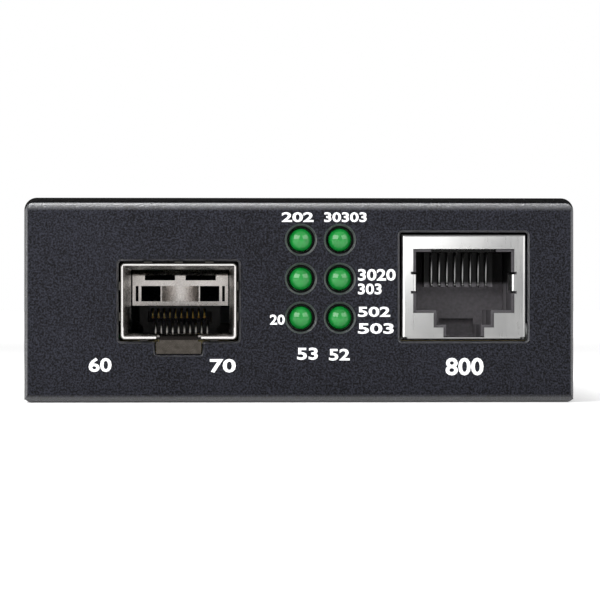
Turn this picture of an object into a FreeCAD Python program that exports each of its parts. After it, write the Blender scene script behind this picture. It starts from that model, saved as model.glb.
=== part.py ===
"""A compact fibre media converter: a folded steel case with a module cage and a network jack on its front.

Millimetres, +Z up. The origin is the middle of the case's underside, the front panel faces -Y and the
power inlet is at +Y. The case is two folded sheets, a tray and a cover, and the board inside stands on
four pillars. Every piece is its own solid; pieces that repeat share one file.
"""

import FreeCAD
import Part

import math
import os

from FreeCAD import Vector

# --- The case -------------------------------------------------------------------------------------
CASE_W = 70.0  # across the front
CASE_D = 94.0  # front panel to rear panel
CASE_H = 26.0
TRAY_GAUGE = 0.8  # sheet of floor and end panels
TRAY_BEND = 0.4  # inside radius of the tray's folds
COVER_GAUGE = 0.6
COVER_BEND = 1.0  # inside radius of the cover's folds
COVER_FIT = 0.1  # between the cover's walls and the tray's side flanges
COVER_LIFT = 0.3  # the cover's walls stop this far above the table
PANEL_INSET = 0.1  # each end of an end panel lies this far inside the cover's walls
SEAM = 0.15  # between the end panels' folds and the cover's edges
PANEL_EDGE = 0.5  # rounding of the end panels' upright edges
PANEL_FOOT_R = 0.8  # lower corners of the end panels
PANEL_HEAD_R = 1.3  # upper corners of the end panels
TOP_FLANGE = 6.0  # lip of an end panel under the cover
SIDE_FLANGE_H = 7.0
SIDE_FLANGE_END = 5.0  # from each end of the case to the side flanges
FOLD_RELIEF = 1.0
HOLE_LIP = 0.25  # bevel of a punched edge
SINK = 0.1  # how far a cut or a joined form runs past the face it meets
WINDOW_CORNER = 0.35  # more than the bevel

# --- Cover screws and vents -----------------------------------------------------------------------
SCREW_R = 1.5  # M3
THREAD_PLAY = 0.05
COVER_SCREW_Z = 3.9
COVER_SCREW_FROM_END = 17.0
COVER_SCREW_LEN = 5.0
COVER_SCREW_SUNK = 0.1  # its head below the cover's face
CROSS_DEPTH = 0.9  # driver's cross in the screw heads
CROSS_W = 2.6
CROSS_SLOT = 0.5
CONE_R = 2.85  # countersink at the cover's outer face, narrowing at 45 degrees through cover and flange
CONE_PLAY = 0.08  # between the countersink and the screw's head
COLLAR_R = 2.2  # drawn and tapped collar of the flange
COLLAR_LEN = 1.6
VENT_COUNT = 11
VENT_PITCH = 5.0
VENT_W = 2.0
VENT_H = 10.0
VENT_Z = 15.0

# --- Board and its pillars ------------------------------------------------------------------------
PILLAR_H = 5.5
PILLAR_FLATS = 5.0
PILLAR_BORE = 4.5  # depth of the tapped hole
PILLAR_X_FROM_EDGE = 3.5
PILLAR_FRONT = 21.0  # board's front edge to the front pair
PILLAR_REAR = 5.4
BOARD_T = 1.6
BOARD_SIDE_GAP = 0.5
BOARD_FRONT_GAP = 1.2
BOARD_REAR_GAP = 0.8
BOARD_CORNER_R = 1.0
BOARD_SCREW_HEAD_R = 2.75
BOARD_SCREW_CROWN_R = 2.05
BOARD_SCREW_HEAD_H = 2.0
BOARD_SCREW_LEN = 5.0
BOARD_HOLE_R = 1.6
BOARD_NOTCH_PLAY = 0.4  # round the cage's mouth
BOARD_NOTCH_R = 0.8
BOARD_MOUTH_NOTCH = 5.0  # the board's front edge stays this far behind under the cage
LEAD_PLAY = 0.15  # between a lead and its hole in the board
LEAD_BELOW = 1.2  # leads stand this far out under the board
ROUND_LEAD = 0.5  # section of the leads of the can and the crystal

# --- Module cage ----------------------------------------------------------------------------------
CAGE_FROM_LEFT = 19.6  # cage's middle to the case's left side
CAGE_IN_W = 14.0
CAGE_IN_H = 8.95
CAGE_LEN = 48.7
CAGE_GAUGE = 0.25
CAGE_BEND = 0.2
CAGE_LIFT = 0.2  # under the cage, on its pin shoulders
CAGE_PROUD = 0.5  # in front of the panel
CAGE_OPENING_PLAY = 0.375  # between cage and panel, all round
CAGE_SILL = 1.2  # height of the base channel's walls
CAGE_PIN_W = 0.8
CAGE_PINS_AT = (9.5, 19.5, 29.5, 40.0)  # from the mouth
LATCH_W = 4.9
LATCH_BEND = 0.45  # inside radius of the tongue's folds
LATCH_SLOT = 0.4  # slits beside the latch tongue
LATCH_LIP_W = 5.7
LATCH_LEN = 14.0
LATCH_RISE = 0.3  # the tongue's front stands above the cage's floor
LATCH_DROP = 1.9  # its lip reaches this far below the floor
LATCH_PLAY = 0.12  # between the lip and the panel's notch
LATCH_ROOT = 0.6  # length of the tongue's root on the floor
CATCH_W = 2.7  # three-cornered hole that holds a module's latch post
CATCH_LEN = 2.7
CATCH_BACK = 7.2  # from the mouth
ROOF_SLOT_W = 1.6
ROOF_SLOT_L = 3.5
ROOF_SLOT_PITCH = 4.4
ROOF_SLOT_BACK = 10.75  # from the mouth to the middle of the roof's slots
SIDE_SLOT_W = 1.0
SIDE_SLOT_H = 1.8
SIDE_SLOTS_AT = (3.2, 8.0)  # from the cage's rear
SIDE_SLOT_RISE = 4.25
FINGER_W = 1.05
FINGER_PITCH = 3.9
FINGER_PITCH_BELOW = 8.9
FINGER_BAND = 2.0
FINGER_BAND_BACK = 0.9  # the band lies this far behind the panel
FINGER_GAUGE = 0.15
FINGER_ROOT = 0.5  # a finger's root on the band
FINGER_KNEE = 0.3  # flat length in front of the band
FINGER_CREST = 0.7  # length that touches the panel's opening
FINGER_TIP = 0.15  # a finger's tip in front of the panel
BAND_GAP = 0.5  # past the lip, where the band is open below
FINGER_GAP = 0.02  # between the spring band and the cage
FLAP_DROP = 5.35  # height of the rear flap
FLAP_BEND = 1.0  # inside radius of the fold between roof and flap
FLAP_SLOT_TOP = 1.0  # from the cage's roof to the slots at the fold
FLAP_SLOT_H = 0.75
FLAP_BAR = 0.8
FLAP_FOOT_BAR = 0.6
FLAP_LEAF_HALF = 2.8  # half the width of the sprung leaf and its two posts
FLAP_POST = 0.35
FLAP_LEAF_RISE = 0.6
FLAP_WINDOW_W = 2.75
FLAP_SIDE_SLOT_W = 0.4
FLAP_ROOF = 0.5  # flat of the roof that the flap's fold starts from
FLAP_SLOT_SHORT = 0.5  # the slots at the fold end this far inside the windows

# --- Card connector in the cage -------------------------------------------------------------------
CARD_W = 11.2
CARD_H = 4.3
CARD_D = 9.0
CARD_FROM_MOUTH = 38.5
CARD_PITCH = 0.8
CARD_CONTACTS = 10  # in each of two rows
CARD_CONTACT_W = 0.36
CARD_CONTACT_T = 0.2
CARD_SLOT_W = 8.9
CARD_SLOT_H = 1.5
CARD_SLOT_Z = 2.0  # slot's floor above the board
CARD_PEG_W = 1.2
CARD_PEG_PITCH = 9.4
CARD_PEG_LEN = 1.4
CARD_TAIL = 0.9  # length of the soldered tails on the board
CARD_SLOT_D = 6.5
CARD_FOOT_W = 10.2
CARD_FOOT_H = 1.3
CARD_FOOT_BACK = 0.5  # the face below the slot lies this far back
CARD_ROOF_GROOVE = 0.45  # depth of the contacts' grooves
CARD_FLOOR_GROOVE = 0.55
CARD_FLOOR_GROOVE_D = 4.2
CARD_ROOM_SIDE = 0.3  # hole in the cage's floor for the connector: past its sides
CARD_ROOM_FRONT = 2.2  # and in front of its face
CARD_GROOVE_PLAY = 0.04
CARD_BEAM_TIP = (0.5, 0.25)  # upper contacts: tip, crest and root, back from the face and down from the roof
CARD_BEAM_CREST = (1.5, 1.0)
CARD_BEAM_ROOT = 5.0
CARD_TAIL_GAP = 0.25  # between the connector's back and the upper tails
CARD_LOWER_END = (4.0, -0.3)  # lower contacts: end, crest and shoulder, back from the face, up from the floor
CARD_LOWER_CREST = (1.7, 0.35)
CARD_LOWER_SHOULDER = -0.25
CARD_LOWER_FOOT = 0.35  # their feet in front of the face

# --- Network jack ---------------------------------------------------------------------------------
JACK_FROM_RIGHT = 14.15
JACK_W = 15.8
JACK_H = 13.35
JACK_D = 18.0
JACK_LIFT = 0.1
JACK_PROUD = 0.1
JACK_OPENING_PLAY = 0.25
JACK_SHEET = 0.25
JACK_EDGE = 0.35
JACK_KEY_W = 12.9
JACK_KEY_Z = 3.35  # from the shield's foot to the ledges
JACK_KEY_TOP = 11.5
JACK_STEP_W = 7.7
JACK_STEP_Z = 1.5
JACK_LATCH_W = 5.2
JACK_INSET = 0.35  # insert's cavity inside the shield's opening
JACK_INSERT_PLAY = 0.05  # between the insert and its shield
JACK_CAVITY_D = 12.0
JACK_TAB_Z = 7.2
JACK_TAB_H = 2.1
JACK_TAB_D = 5.0
JACK_TAB_ROOT = 0.3  # the tab's root, past the key's edge
JACK_TAB_BULGE = 0.55  # how far the tab reaches into the opening
JACK_TAB_SLIT = 0.35  # relief above and below the tab
JACK_TAB_ROOM = 0.3  # round the tab, in the insert
JACK_FOOT_LIP = 1.2  # depth of the lip folded under at the face
JACK_CORNER_W = 0.7  # open lower corners of the face
JACK_CORNER_D = 2.5
JACK_CORNER_H = 0.3
JACK_SILL_D = 1.25  # notch in the insert for that lip
JACK_PIT_FLOOR = 0.6  # latch pit behind the face
JACK_PIT_H = 2.0
JACK_PIT_FRONT = 4.0
JACK_PIT_PAST = 1.2  # past the cavity's end
JACK_NOSE_D = 2.2  # notch in the insert's roof for the wires' folds
JACK_NOSE_SIDE = 0.3
JACK_COMB_Z = 6.7  # comb's underside
JACK_COMB_D = 3.6
JACK_COMB_SIDE = 0.6
JACK_COMB_SLIT = 1.4  # the comb's slits end this far before the cavity's end
JACK_ROOF_GROOVE = 0.55  # depth of the wires' grooves in the roof
JACK_GROOVE_PLAY = 0.08
JACK_PEG_STANDOUT = 0.4  # below the board
JACK_CONTACTS = 8
JACK_PITCH = 1.016
JACK_WIRE = 0.3
JACK_WIRE_COVER = 0.2  # the wires' middle below the insert's roof
JACK_WIRE_NOSE = 0.35  # and behind its face
JACK_WIRE_TIP = 1.6  # wires' tips before the cavity's end
JACK_WIRE_FLAT = 1.1  # straight tip in the comb
JACK_WIRE_BEND = (0.35, 0.1)  # the wires' two folds at the nose, back from it and up from the key's top
JACK_WIRE_BROW = 0.75
JACK_WIRE_CREST = 0.5
JACK_PEG_R = 1.6
JACK_PEG_PITCH = 11.43
JACK_PEG_BACK = 8.9  # from the jack's face to its pegs
JACK_TAIL_BACK = 13.9
JACK_POST_W = 1.2
JACK_POST_STEP = 3.0  # behind the pegs
JACK_TAIL_STEP = 2.54  # between the tails' two rows
JACK_TAB_FOLD = 0.4  # the tab's fold and tip, in from the key's edge
JACK_TAB_TIP = 0.2
JACK_TAB_REACH = 0.5  # room behind the tab's tip

# --- Lamps ----------------------------------------------------------------------------------------
LAMP_SHIFT = 0.2  # middle of the two columns, from halfway between cage and jack
LAMP_PITCH_X = 4.95
LAMP_PITCH_Z = 4.95
LAMP_Z = 2.85  # lowest row above the board
LAMP_ROWS = 3
LAMP_R = 1.5
LAMP_LEN = 5.3
LAMP_PROUD = 0.4
LAMP_HOLE_R = 1.8
LAMP_PLAY = 0.06
LAMP_LEAD = 0.5
LAMP_LEAD_PITCH = 2.54
LAMP_ROW_STEP = 1.3  # each row's leads come down this far behind the row below
HOLDER_W = 4.6
HOLDER_D = 9.0
HOLDER_FACE_GAP = 1.0  # behind the panel
HOLDER_ABOVE = 2.4
HOLDER_WELL_PLAY = 0.25  # round the leads in the open back

# --- Power inlet ----------------------------------------------------------------------------------
INLET_FROM_RIGHT = 16.0
INLET_W = 9.0
INLET_H = 11.0
INLET_D = 14.2
INLET_AXIS_Z = 6.5  # above the board
INLET_BORE_R = 3.2
INLET_NOSE_R = 4.2
INLET_PIN_R = 1.05
INLET_PIN_LEN = 9.0
INLET_PIN_BACK = 0.6  # from the inlet's face to the pin's tip
INLET_PIN_SEAT_R = 0.85  # the pin's neck, riveted through the moulding
INLET_HOLE_R = 3.9
INLET_GAP = 0.1
INLET_LEAD_W = 2.2
INLET_LEAD_T = 0.8
INLET_LEAF_T = 0.3
INLET_LEAF_BEND = 0.2
INLET_LEAF_START = 2.8  # the leaf's tip, and its end, from the inlet's face
INLET_LEAF_END = 8.2
INLET_LEAF_FOOT = 7.6
INLET_SIDE_FOOT = 10.6
INLET_PLATE_D = 3.2
INLET_CORNER = 1.0
INLET_BLOCK_RISE = 1.0  # block's top above the pin's axis
INLET_TAIL_RISE = 1.5
INLET_SIDE_DROP = 2.2  # side contact's top below the pin's axis
INLET_SLOT_PLAY = 0.15
INLET_SLOT_RISE = 0.6
INLET_LEAF_TIP = -0.5  # the leaf's tip, crest and end, up from the bore's floor
INLET_LEAF_CREST = 0.2
INLET_LEAF_ROOT = -0.6
INLET_LEAF_CREST_AT = 0.375  # share of the way from tip to end
INLET_SIDE_IN = 0.5  # side contact's middle, in from the block's side

# --- Parts on the board ---------------------------------------------------------------------------
MAGNETICS_SIZE = (17.5, 12.0, 6.0)
MAGNETICS_BEHIND_JACK = 9.5  # from the jack's back to the magnetics' middle
MAGNETICS_SIDE_STEP = 3.7  # from the jack's middle, away from the board screw
MAGNETICS_PINS = 12
MAGNETICS_PITCH = 1.27
MAGNETICS_LEAD_Z = 1.0
MAGNETICS_LIFT = 0.3
MAGNETICS_BEVEL = 0.4
CHIP_SIZE = 9.0
CHIP_T = 0.9
CHIP_PADS = 12  # along each side
CHIP_PAD_PITCH = 0.65
CHIP_PAD_W = 0.24
CHIP_PAD_H = 0.2
CHIP_PAD_DEPTH = 0.15
CHIP_BEVEL = 0.1
CHIP_BEHIND_MAGNETICS = 17.0  # from middle to middle
CHIP_SIDE_STEP = 12.0  # from the jack's middle
CRYSTAL_SIZE = (11.0, 4.6, 3.6)
CRYSTAL_LEAD_PITCH = 4.88
CRYSTAL_LIFT = 0.2
CRYSTAL_BRIM_H = 0.4
CRYSTAL_BRIM_W = 0.35
CRYSTAL_FLAT = 0.01  # left flat at each rounded end
CRYSTAL_SIDE_STEP = 16.5  # from the chip's middle
MEMORY_SIZE = (5.0, 4.0, 1.5)
MEMORY_BEHIND_CAGE = 7.0
MEMORY_PINS = 4
MEMORY_PITCH = 1.0
MEMORY_BEVEL = 0.25
CAN_R = 4.0
CAN_H = 11.0
CAN_LEAD_PITCH = 3.5
CAN_CRIMP = 0.3
CAN_CRIMP_Z = 1.5
CAN_VENT_DEPTH = 0.15
CAN_VENT_W = 0.25
CAN_FROM_REAR = 12.0
CAN_X = 3.0
COIL_SIZE = 7.0
COIL_H = 4.0
COIL_CORNER = 1.2
COIL_WALL = 0.7
COIL_GROOVE = 0.6
COIL_FLOOR = 1.0
COIL_FROM_REAR = 12.0
COIL_X = -8.0
REGULATOR_SIZE = (6.5, 3.5, 1.7)
REGULATOR_FROM_REAR = 21.0
REGULATOR_X = -8.0
REGULATOR_PINS = 3
REGULATOR_PITCH = 2.3
REGULATOR_BEVEL = 0.25
GULL_W = 0.4
GULL_T = 0.15
GULL_KNEE = 0.45  # how far a lead's knee, heel and toe stand out from its package
GULL_HEEL = 0.6
GULL_TOE = 1.1
SMALL_LEAD_Z = 0.7  # where the small packages' leads leave them
CHIP_LIFT = 0.12  # under the small packages
PIN_DOT_R = 0.5
PIN_DOT_IN = 1.4
PIN_DOT_DEPTH = 0.1

# --- Places that follow from the sizes ------------------------------------------------------------
FRONT = -CASE_D / 2
REAR = CASE_D / 2
TRAY_OUT_R = TRAY_BEND + TRAY_GAUGE
PANEL_HALF = CASE_W / 2 - PANEL_INSET
FLOOR_HALF = CASE_W / 2 - COVER_GAUGE - COVER_FIT
LIP_HALF = CASE_W / 2 - COVER_GAUGE - COVER_BEND - COVER_FIT
PANEL_TOP = CASE_H - COVER_GAUGE
PANEL_BACK = FRONT + TRAY_GAUGE
REAR_PANEL_FACE = REAR - TRAY_GAUGE
COVER_FRONT = FRONT + TRAY_OUT_R + SEAM
COVER_REAR = REAR - TRAY_OUT_R - SEAM

BOARD_Z0 = TRAY_GAUGE + PILLAR_H
BOARD_Z = BOARD_Z0 + BOARD_T
BOARD_HALF = FLOOR_HALF - TRAY_GAUGE - BOARD_SIDE_GAP
BOARD_FRONT = PANEL_BACK + BOARD_FRONT_GAP
BOARD_REAR = REAR_PANEL_FACE - BOARD_REAR_GAP
LEAD_END = BOARD_Z0 - LEAD_BELOW

CAGE_X = -CASE_W / 2 + CAGE_FROM_LEFT
CAGE_HALF = CAGE_IN_W / 2 + CAGE_GAUGE
CAGE_Z = BOARD_Z + CAGE_LIFT
CAGE_TOP = CAGE_Z + CAGE_IN_H + 2 * CAGE_GAUGE
CAGE_SEAM = CAGE_Z + CAGE_SILL
CAGE_MOUTH = FRONT - CAGE_PROUD
CAGE_REAR = CAGE_MOUTH + CAGE_LEN
CARD_FACE = CAGE_MOUTH + CARD_FROM_MOUTH
CAGE_OUT_R = CAGE_BEND + CAGE_GAUGE
BAND_FRONT = PANEL_BACK + FINGER_BAND_BACK

JACK_X = CASE_W / 2 - JACK_FROM_RIGHT
JACK_FACE = FRONT - JACK_PROUD
JACK_BACK = JACK_FACE + JACK_D
JACK_Z = BOARD_Z + JACK_LIFT
JACK_TOP = JACK_Z + JACK_H

LAMP_TIP = FRONT - LAMP_PROUD
LAMP_TAIL = LAMP_TIP + LAMP_LEN
HOLDER_FACE = PANEL_BACK + HOLDER_FACE_GAP
LAMP_X = (CAGE_X + CAGE_HALF + JACK_X - JACK_W / 2) / 2 + LAMP_SHIFT
LAMP_COLUMNS = (LAMP_X - LAMP_PITCH_X / 2, LAMP_X + LAMP_PITCH_X / 2)
LAMP_HEIGHTS = tuple(BOARD_Z + LAMP_Z + i * LAMP_PITCH_Z for i in range(LAMP_ROWS))

INLET_X = CASE_W / 2 - INLET_FROM_RIGHT
INLET_FACE = REAR_PANEL_FACE - INLET_GAP
INLET_Z = BOARD_Z + INLET_AXIS_Z
INLET_SIDE_TOP = INLET_Z - INLET_SIDE_DROP

MAGNETICS_POS = (JACK_X - MAGNETICS_SIDE_STEP, JACK_BACK + MAGNETICS_BEHIND_JACK)
CHIP_POS = (JACK_X - CHIP_SIDE_STEP, MAGNETICS_POS[1] + CHIP_BEHIND_MAGNETICS)
CRYSTAL_POS = (CHIP_POS[0] + CRYSTAL_SIDE_STEP, CHIP_POS[1])
MEMORY_POS = (CAGE_X, CAGE_REAR + MEMORY_BEHIND_CAGE)
COIL_POS = (COIL_X, BOARD_REAR - COIL_FROM_REAR)
REGULATOR_POS = (REGULATOR_X, BOARD_REAR - REGULATOR_FROM_REAR)
CAN_POS = (CAN_X, BOARD_REAR - CAN_FROM_REAR)

FLANGE_DEPTH = COVER_GAUGE + COVER_FIT  # side flange's outer face, from the cover's outer face
CONE_END = CONE_R - SCREW_R - THREAD_PLAY  # depth at which a countersink meets the thread

PILLARS = tuple(
    (side * (BOARD_HALF - PILLAR_X_FROM_EDGE), y)
    for side in (-1, 1)
    for y in (BOARD_FRONT + PILLAR_FRONT, BOARD_REAR - PILLAR_REAR)
)
COVER_SCREWS = tuple(
    (side, y)
    for side in (-1, 1)
    for y in (FRONT + COVER_SCREW_FROM_END, REAR - COVER_SCREW_FROM_END)
)


# --- Tools ----------------------------------------------------------------------------------------
def lift(plane, u, v, at=0.0):
    """A point of a flat outline in plane XY, XZ or YZ, at being its place on the third axis."""
    return {"XY": Vector(u, v, at), "XZ": Vector(u, at, v), "YZ": Vector(at, u, v)}[plane]


def rounded_wire(plane, corners, radii, at=0.0):
    """A closed wire through the corners, with an arc of the given radius at each corner that has one."""
    count = len(corners)
    starts, ends, arcs = [], [], []
    for i, (corner, radius) in enumerate(zip(corners, radii)):
        here = Vector(*corner, 0)
        back = (Vector(*corners[i - 1], 0) - here).normalize()
        ahead = (Vector(*corners[(i + 1) % count], 0) - here).normalize()
        if radius <= 0:
            starts.append(here)
            ends.append(here)
            arcs.append(None)
            continue
        half = back.getAngle(ahead) / 2
        setback = radius / math.tan(half)
        middle = (back + ahead).normalize()
        starts.append(here + back * setback)
        ends.append(here + ahead * setback)
        arcs.append(here + middle * (radius / math.sin(half) - radius))
    edges = []
    for i in range(count):
        first, mid, last = (p and lift(plane, p.x, p.y, at) for p in (starts[i], arcs[i], ends[i]))
        if mid:
            edges.append(Part.Arc(first, mid, last).toShape())
        following = starts[(i + 1) % count]
        after = lift(plane, following.x, following.y, at)
        if last.distanceToPoint(after) > 1e-6:
            edges.append(Part.LineSegment(last, after).toShape())
    return Part.Wire(edges)


def plate(plane, corners, start, end, radii=None):
    """A flat outline pulled along the third axis from start to end."""
    wire = rounded_wire(plane, corners, radii or [0] * len(corners), start)
    return Part.Face(wire).extrude(lift(plane, 0, 0, end - start))


def block(x0, x1, y0, y1, z0, z1):
    return Part.makeBox(x1 - x0, y1 - y0, z1 - z0, Vector(x0, y0, z0))


def rectangle(u0, u1, v0, v1):
    return [(u0, v0), (u1, v0), (u1, v1), (u0, v1)]


def rod(radius, foot, direction, length):
    return Part.makeCylinder(radius, length, Vector(*foot), Vector(*direction))


def turned(profile, foot, axis):
    """A closed outline of (radius, height) points, turned about an axis through foot."""
    ring = Part.Face(Part.makePolygon([Vector(r, 0, h) for r, h in profile + profile[:1]]))
    solid = ring.revolve(Vector(0, 0, 0), Vector(0, 0, 1), 360)
    solid.Placement = FreeCAD.Placement(Vector(*foot), FreeCAD.Rotation(Vector(0, 0, 1), Vector(*axis)))
    return solid


def offset_path(path, distance):
    """The open path moved to its left by distance, its corners kept sharp."""
    moved = []
    for i, point in enumerate(path):
        before = path[max(i - 1, 0)]
        after = path[min(i + 1, len(path) - 1)]
        ins = Vector(*point, 0) - Vector(*before, 0)
        outs = Vector(*after, 0) - Vector(*point, 0)
        ins = ins if ins.Length else outs
        outs = outs if outs.Length else ins
        left_in = Vector(-ins.y, ins.x, 0).normalize()
        left_out = Vector(-outs.y, outs.x, 0).normalize()
        mitre = (left_in + left_out).normalize()
        shift = mitre * (distance / mitre.dot(left_in))
        moved.append((point[0] + shift.x, point[1] + shift.y))
    return moved


def strip(plane, path, gauge, bend, start, end, left=None):
    """Sheet or flat wire of one gauge folded along a path.

    bend is the inside radius of each fold, or None for sharp folds, as on leads too thin to show a radius.
    The path runs through the sheet, with left of its gauge on its left side, or half of it.
    """
    left = gauge / 2 if left is None else left
    turns = [0.0]
    for a, b, c in zip(path, path[1:], path[2:]):
        turns.append((b[0] - a[0]) * (c[1] - b[1]) - (b[1] - a[1]) * (c[0] - b[0]))
    turns.append(0.0)
    corners = offset_path(path, left) + offset_path(path, left - gauge)[::-1]
    if bend is None:
        return plate(plane, corners, start, end)
    left_radii = [0 if not t else bend if t > 0 else bend + gauge for t in turns]
    right_radii = [0 if not t else bend + gauge if t > 0 else bend for t in turns]
    return plate(plane, corners, start, end, left_radii + right_radii[::-1])


def fused(first, *others):
    return first.fuse(list(others)).removeSplitter()


def cut(body, *tools):
    return body.cut(list(tools))


def mirrored(shape, middle):
    """The shape reflected across the upright plane x = middle."""
    return shape.mirror(Vector(middle, 0, 0), Vector(1, 0, 0))


def spread(count, pitch, middle=0.0):
    """Evenly spaced places about a middle."""
    return [middle + (i - (count - 1) / 2) * pitch for i in range(count)]


def save(node, *solids):
    solids = [s for shape in solids for s in shape.Solids]
    shape = solids[0] if len(solids) == 1 else Part.makeCompound(solids)
    if not shape.isValid() or any(s.Volume <= 0 for s in solids):
        raise ValueError(f"{node} isn't a sound solid")
    shape.exportStep(os.path.join("parts", node + ".step"))
    print(f"{node}: {len(solids)} solid(s), {sum(s.Volume for s in solids):.2f} mm3")


# --- Folded case ----------------------------------------------------------------------------------
def lipped_hole(radius, x, z, face, inward):
    """A round punch for an end panel, bevelled at its outer face. inward is +1 or -1 along Y."""
    profile = [
        (0, -HOLE_LIP), (radius + 2 * HOLE_LIP, -HOLE_LIP), (radius, HOLE_LIP),
        (radius, 2 * TRAY_GAUGE), (0, 2 * TRAY_GAUGE),
    ]
    return turned(profile, (x, face, z), (0, inward, 0))


def window(corners):
    """A punched opening of the front panel, through its sheet."""
    return plate("XZ", corners, FRONT - 1, PANEL_BACK + 1, [WINDOW_CORNER] * len(corners))


def cage_window():
    """The module opening, with the notch that lets the latch tongue dip."""
    half = CAGE_HALF + CAGE_OPENING_PLAY
    low, high = CAGE_Z - CAGE_OPENING_PLAY, CAGE_TOP + CAGE_OPENING_PLAY
    notch = LATCH_LIP_W / 2 + LATCH_PLAY
    foot = CAGE_Z - LATCH_DROP - LATCH_PLAY
    corners = [(CAGE_X + u, v) for u, v in (
        (-half, high), (-half, low), (-notch, low), (-notch, foot),
        (notch, foot), (notch, low), (half, low), (half, high),
    )]
    return window(corners)


def jack_window():
    half = JACK_W / 2 + JACK_OPENING_PLAY
    low, high = JACK_Z - JACK_OPENING_PLAY, JACK_TOP + JACK_OPENING_PLAY
    return window(rectangle(JACK_X - half, JACK_X + half, low, high))


def on_window_rim(box):
    """Whether an edge's box lies on the front panel's face, on the rim of the cage's or the jack's window."""
    cage_reach = CAGE_HALF + CAGE_OPENING_PLAY + SEAM
    jack_reach = JACK_W / 2 + JACK_OPENING_PLAY + SEAM
    on_face = abs(box.YMin - FRONT) < SEAM and abs(box.YMax - FRONT) < SEAM
    at_cage = max(abs(box.XMin - CAGE_X), abs(box.XMax - CAGE_X)) < cage_reach
    at_jack = max(abs(box.XMin - JACK_X), abs(box.XMax - JACK_X)) < jack_reach
    return on_face and (at_cage or at_jack)


def end_panel_envelope(face, inward):
    """The space an end panel and its folds may fill: rounded corners, rounded upright edges."""
    back = face + inward * TRAY_OUT_R
    outline = rectangle(-PANEL_HALF, PANEL_HALF, 0, PANEL_TOP)
    slab = plate("XZ", outline, face, back, [PANEL_FOOT_R, PANEL_FOOT_R, PANEL_HEAD_R, PANEL_HEAD_R])
    plan = rectangle(-PANEL_HALF, PANEL_HALF, face, back)
    return slab.common(plate("XY", plan, -1, CASE_H + 1, [PANEL_EDGE, PANEL_EDGE, 0, 0]))


def side_flange():
    """The right-hand flange: folded up from the floor, inside the cover's wall."""
    path = [(FLOOR_HALF - 4, 0), (FLOOR_HALF, 0), (FLOOR_HALF, SIDE_FLANGE_H)]
    return strip(
        "XZ", path, TRAY_GAUGE, TRAY_BEND, FRONT + SIDE_FLANGE_END, REAR - SIDE_FLANGE_END, left=TRAY_GAUGE
    )


def countersink(side, y):
    """The cone sunk from the cover's outer face, through the cover and into the flange."""
    profile = [(0, -1), (CONE_R + 1, -1), (CONE_R - CONE_END, CONE_END), (0, CONE_END)]
    return turned(profile, (side * CASE_W / 2, y, COVER_SCREW_Z), (-side, 0, 0))


def flange_collar(side, y):
    """The drawn collar on a flange's inner face that takes a cover screw's thread."""
    face = CASE_W / 2 - FLANGE_DEPTH - TRAY_GAUGE / 2
    return rod(COLLAR_R, (side * face, y, COVER_SCREW_Z), (-side, 0, 0), TRAY_GAUGE / 2 + COLLAR_LEN)


def thread_hole(side, y):
    """The tapped bore through a flange and its collar."""
    return rod(SCREW_R + THREAD_PLAY, (side * CASE_W / 2, y, COVER_SCREW_Z), (-side, 0, 0), COVER_SCREW_LEN)


def base_tray():
    """Floor, front and rear panels with their lips, and two side flanges, folded from one sheet."""
    path = [
        (FRONT + TOP_FLANGE, PANEL_TOP), (FRONT, PANEL_TOP), (FRONT, 0),
        (REAR, 0), (REAR, PANEL_TOP), (REAR - TOP_FLANGE, PANEL_TOP),
    ]
    sheet = strip("YZ", path, TRAY_GAUGE, TRAY_BEND, -CASE_W / 2, CASE_W / 2, left=TRAY_GAUGE)
    inner_front, inner_rear = FRONT + TRAY_OUT_R, REAR - TRAY_OUT_R
    floor_room = block(-FLOOR_HALF, FLOOR_HALF, inner_front, inner_rear, 0, CASE_H / 2)
    lip_room = block(-LIP_HALF, LIP_HALF, inner_front, inner_rear, CASE_H / 2, CASE_H)
    envelope = fused(
        end_panel_envelope(FRONT, 1), end_panel_envelope(REAR, -1), floor_room, lip_room
    )
    tray = sheet.common(envelope)
    flange_y0 = FRONT + SIDE_FLANGE_END - FOLD_RELIEF
    flange_y1 = REAR - SIDE_FLANGE_END + FOLD_RELIEF
    fold_gap = block(FLOOR_HALF - TRAY_OUT_R, CASE_W, flange_y0, flange_y1, -1, TRAY_GAUGE + 1)
    flange = side_flange()
    tray = cut(tray, fold_gap, mirrored(fold_gap, 0))
    tray = fused(tray, flange, mirrored(flange, 0))
    tray = fused(tray, *[flange_collar(side, y) for side, y in COVER_SCREWS])
    tray = cut(tray, *[tool(side, y) for side, y in COVER_SCREWS for tool in (countersink, thread_hole)])
    lamp_holes = [
        lipped_hole(LAMP_HOLE_R, x, z, FRONT, 1) for x in LAMP_COLUMNS for z in LAMP_HEIGHTS
    ]
    pillar_holes = [hexagon(PILLAR_FLATS, x, y, -1, 3) for x, y in PILLARS]
    inlet_hole = lipped_hole(INLET_HOLE_R, INLET_X, INLET_Z, REAR, -1)
    tray = cut(tray, cage_window(), jack_window(), inlet_hole, *lamp_holes, *pillar_holes)
    rims = [e for e in tray.Edges if on_window_rim(e.BoundBox)]
    return tray.makeChamfer(HOLE_LIP, rims)


def top_cover():
    """Roof and two side walls folded from one sheet, with vents and countersunk screw seats."""
    half = CASE_W / 2
    path = [(-half, COVER_LIFT), (-half, CASE_H), (half, CASE_H), (half, COVER_LIFT)]
    sheet = strip("XZ", path, COVER_GAUGE, COVER_BEND, COVER_FRONT, COVER_REAR, left=0)
    low, high = VENT_Z - VENT_H / 2, VENT_Z + VENT_H / 2
    vents = [
        block(-half - 1, half + 1, y - VENT_W / 2, y + VENT_W / 2, low, high)
        for y in spread(VENT_COUNT, VENT_PITCH)
    ]
    return cut(sheet, *vents, *[countersink(side, y) for side, y in COVER_SCREWS])


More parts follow.
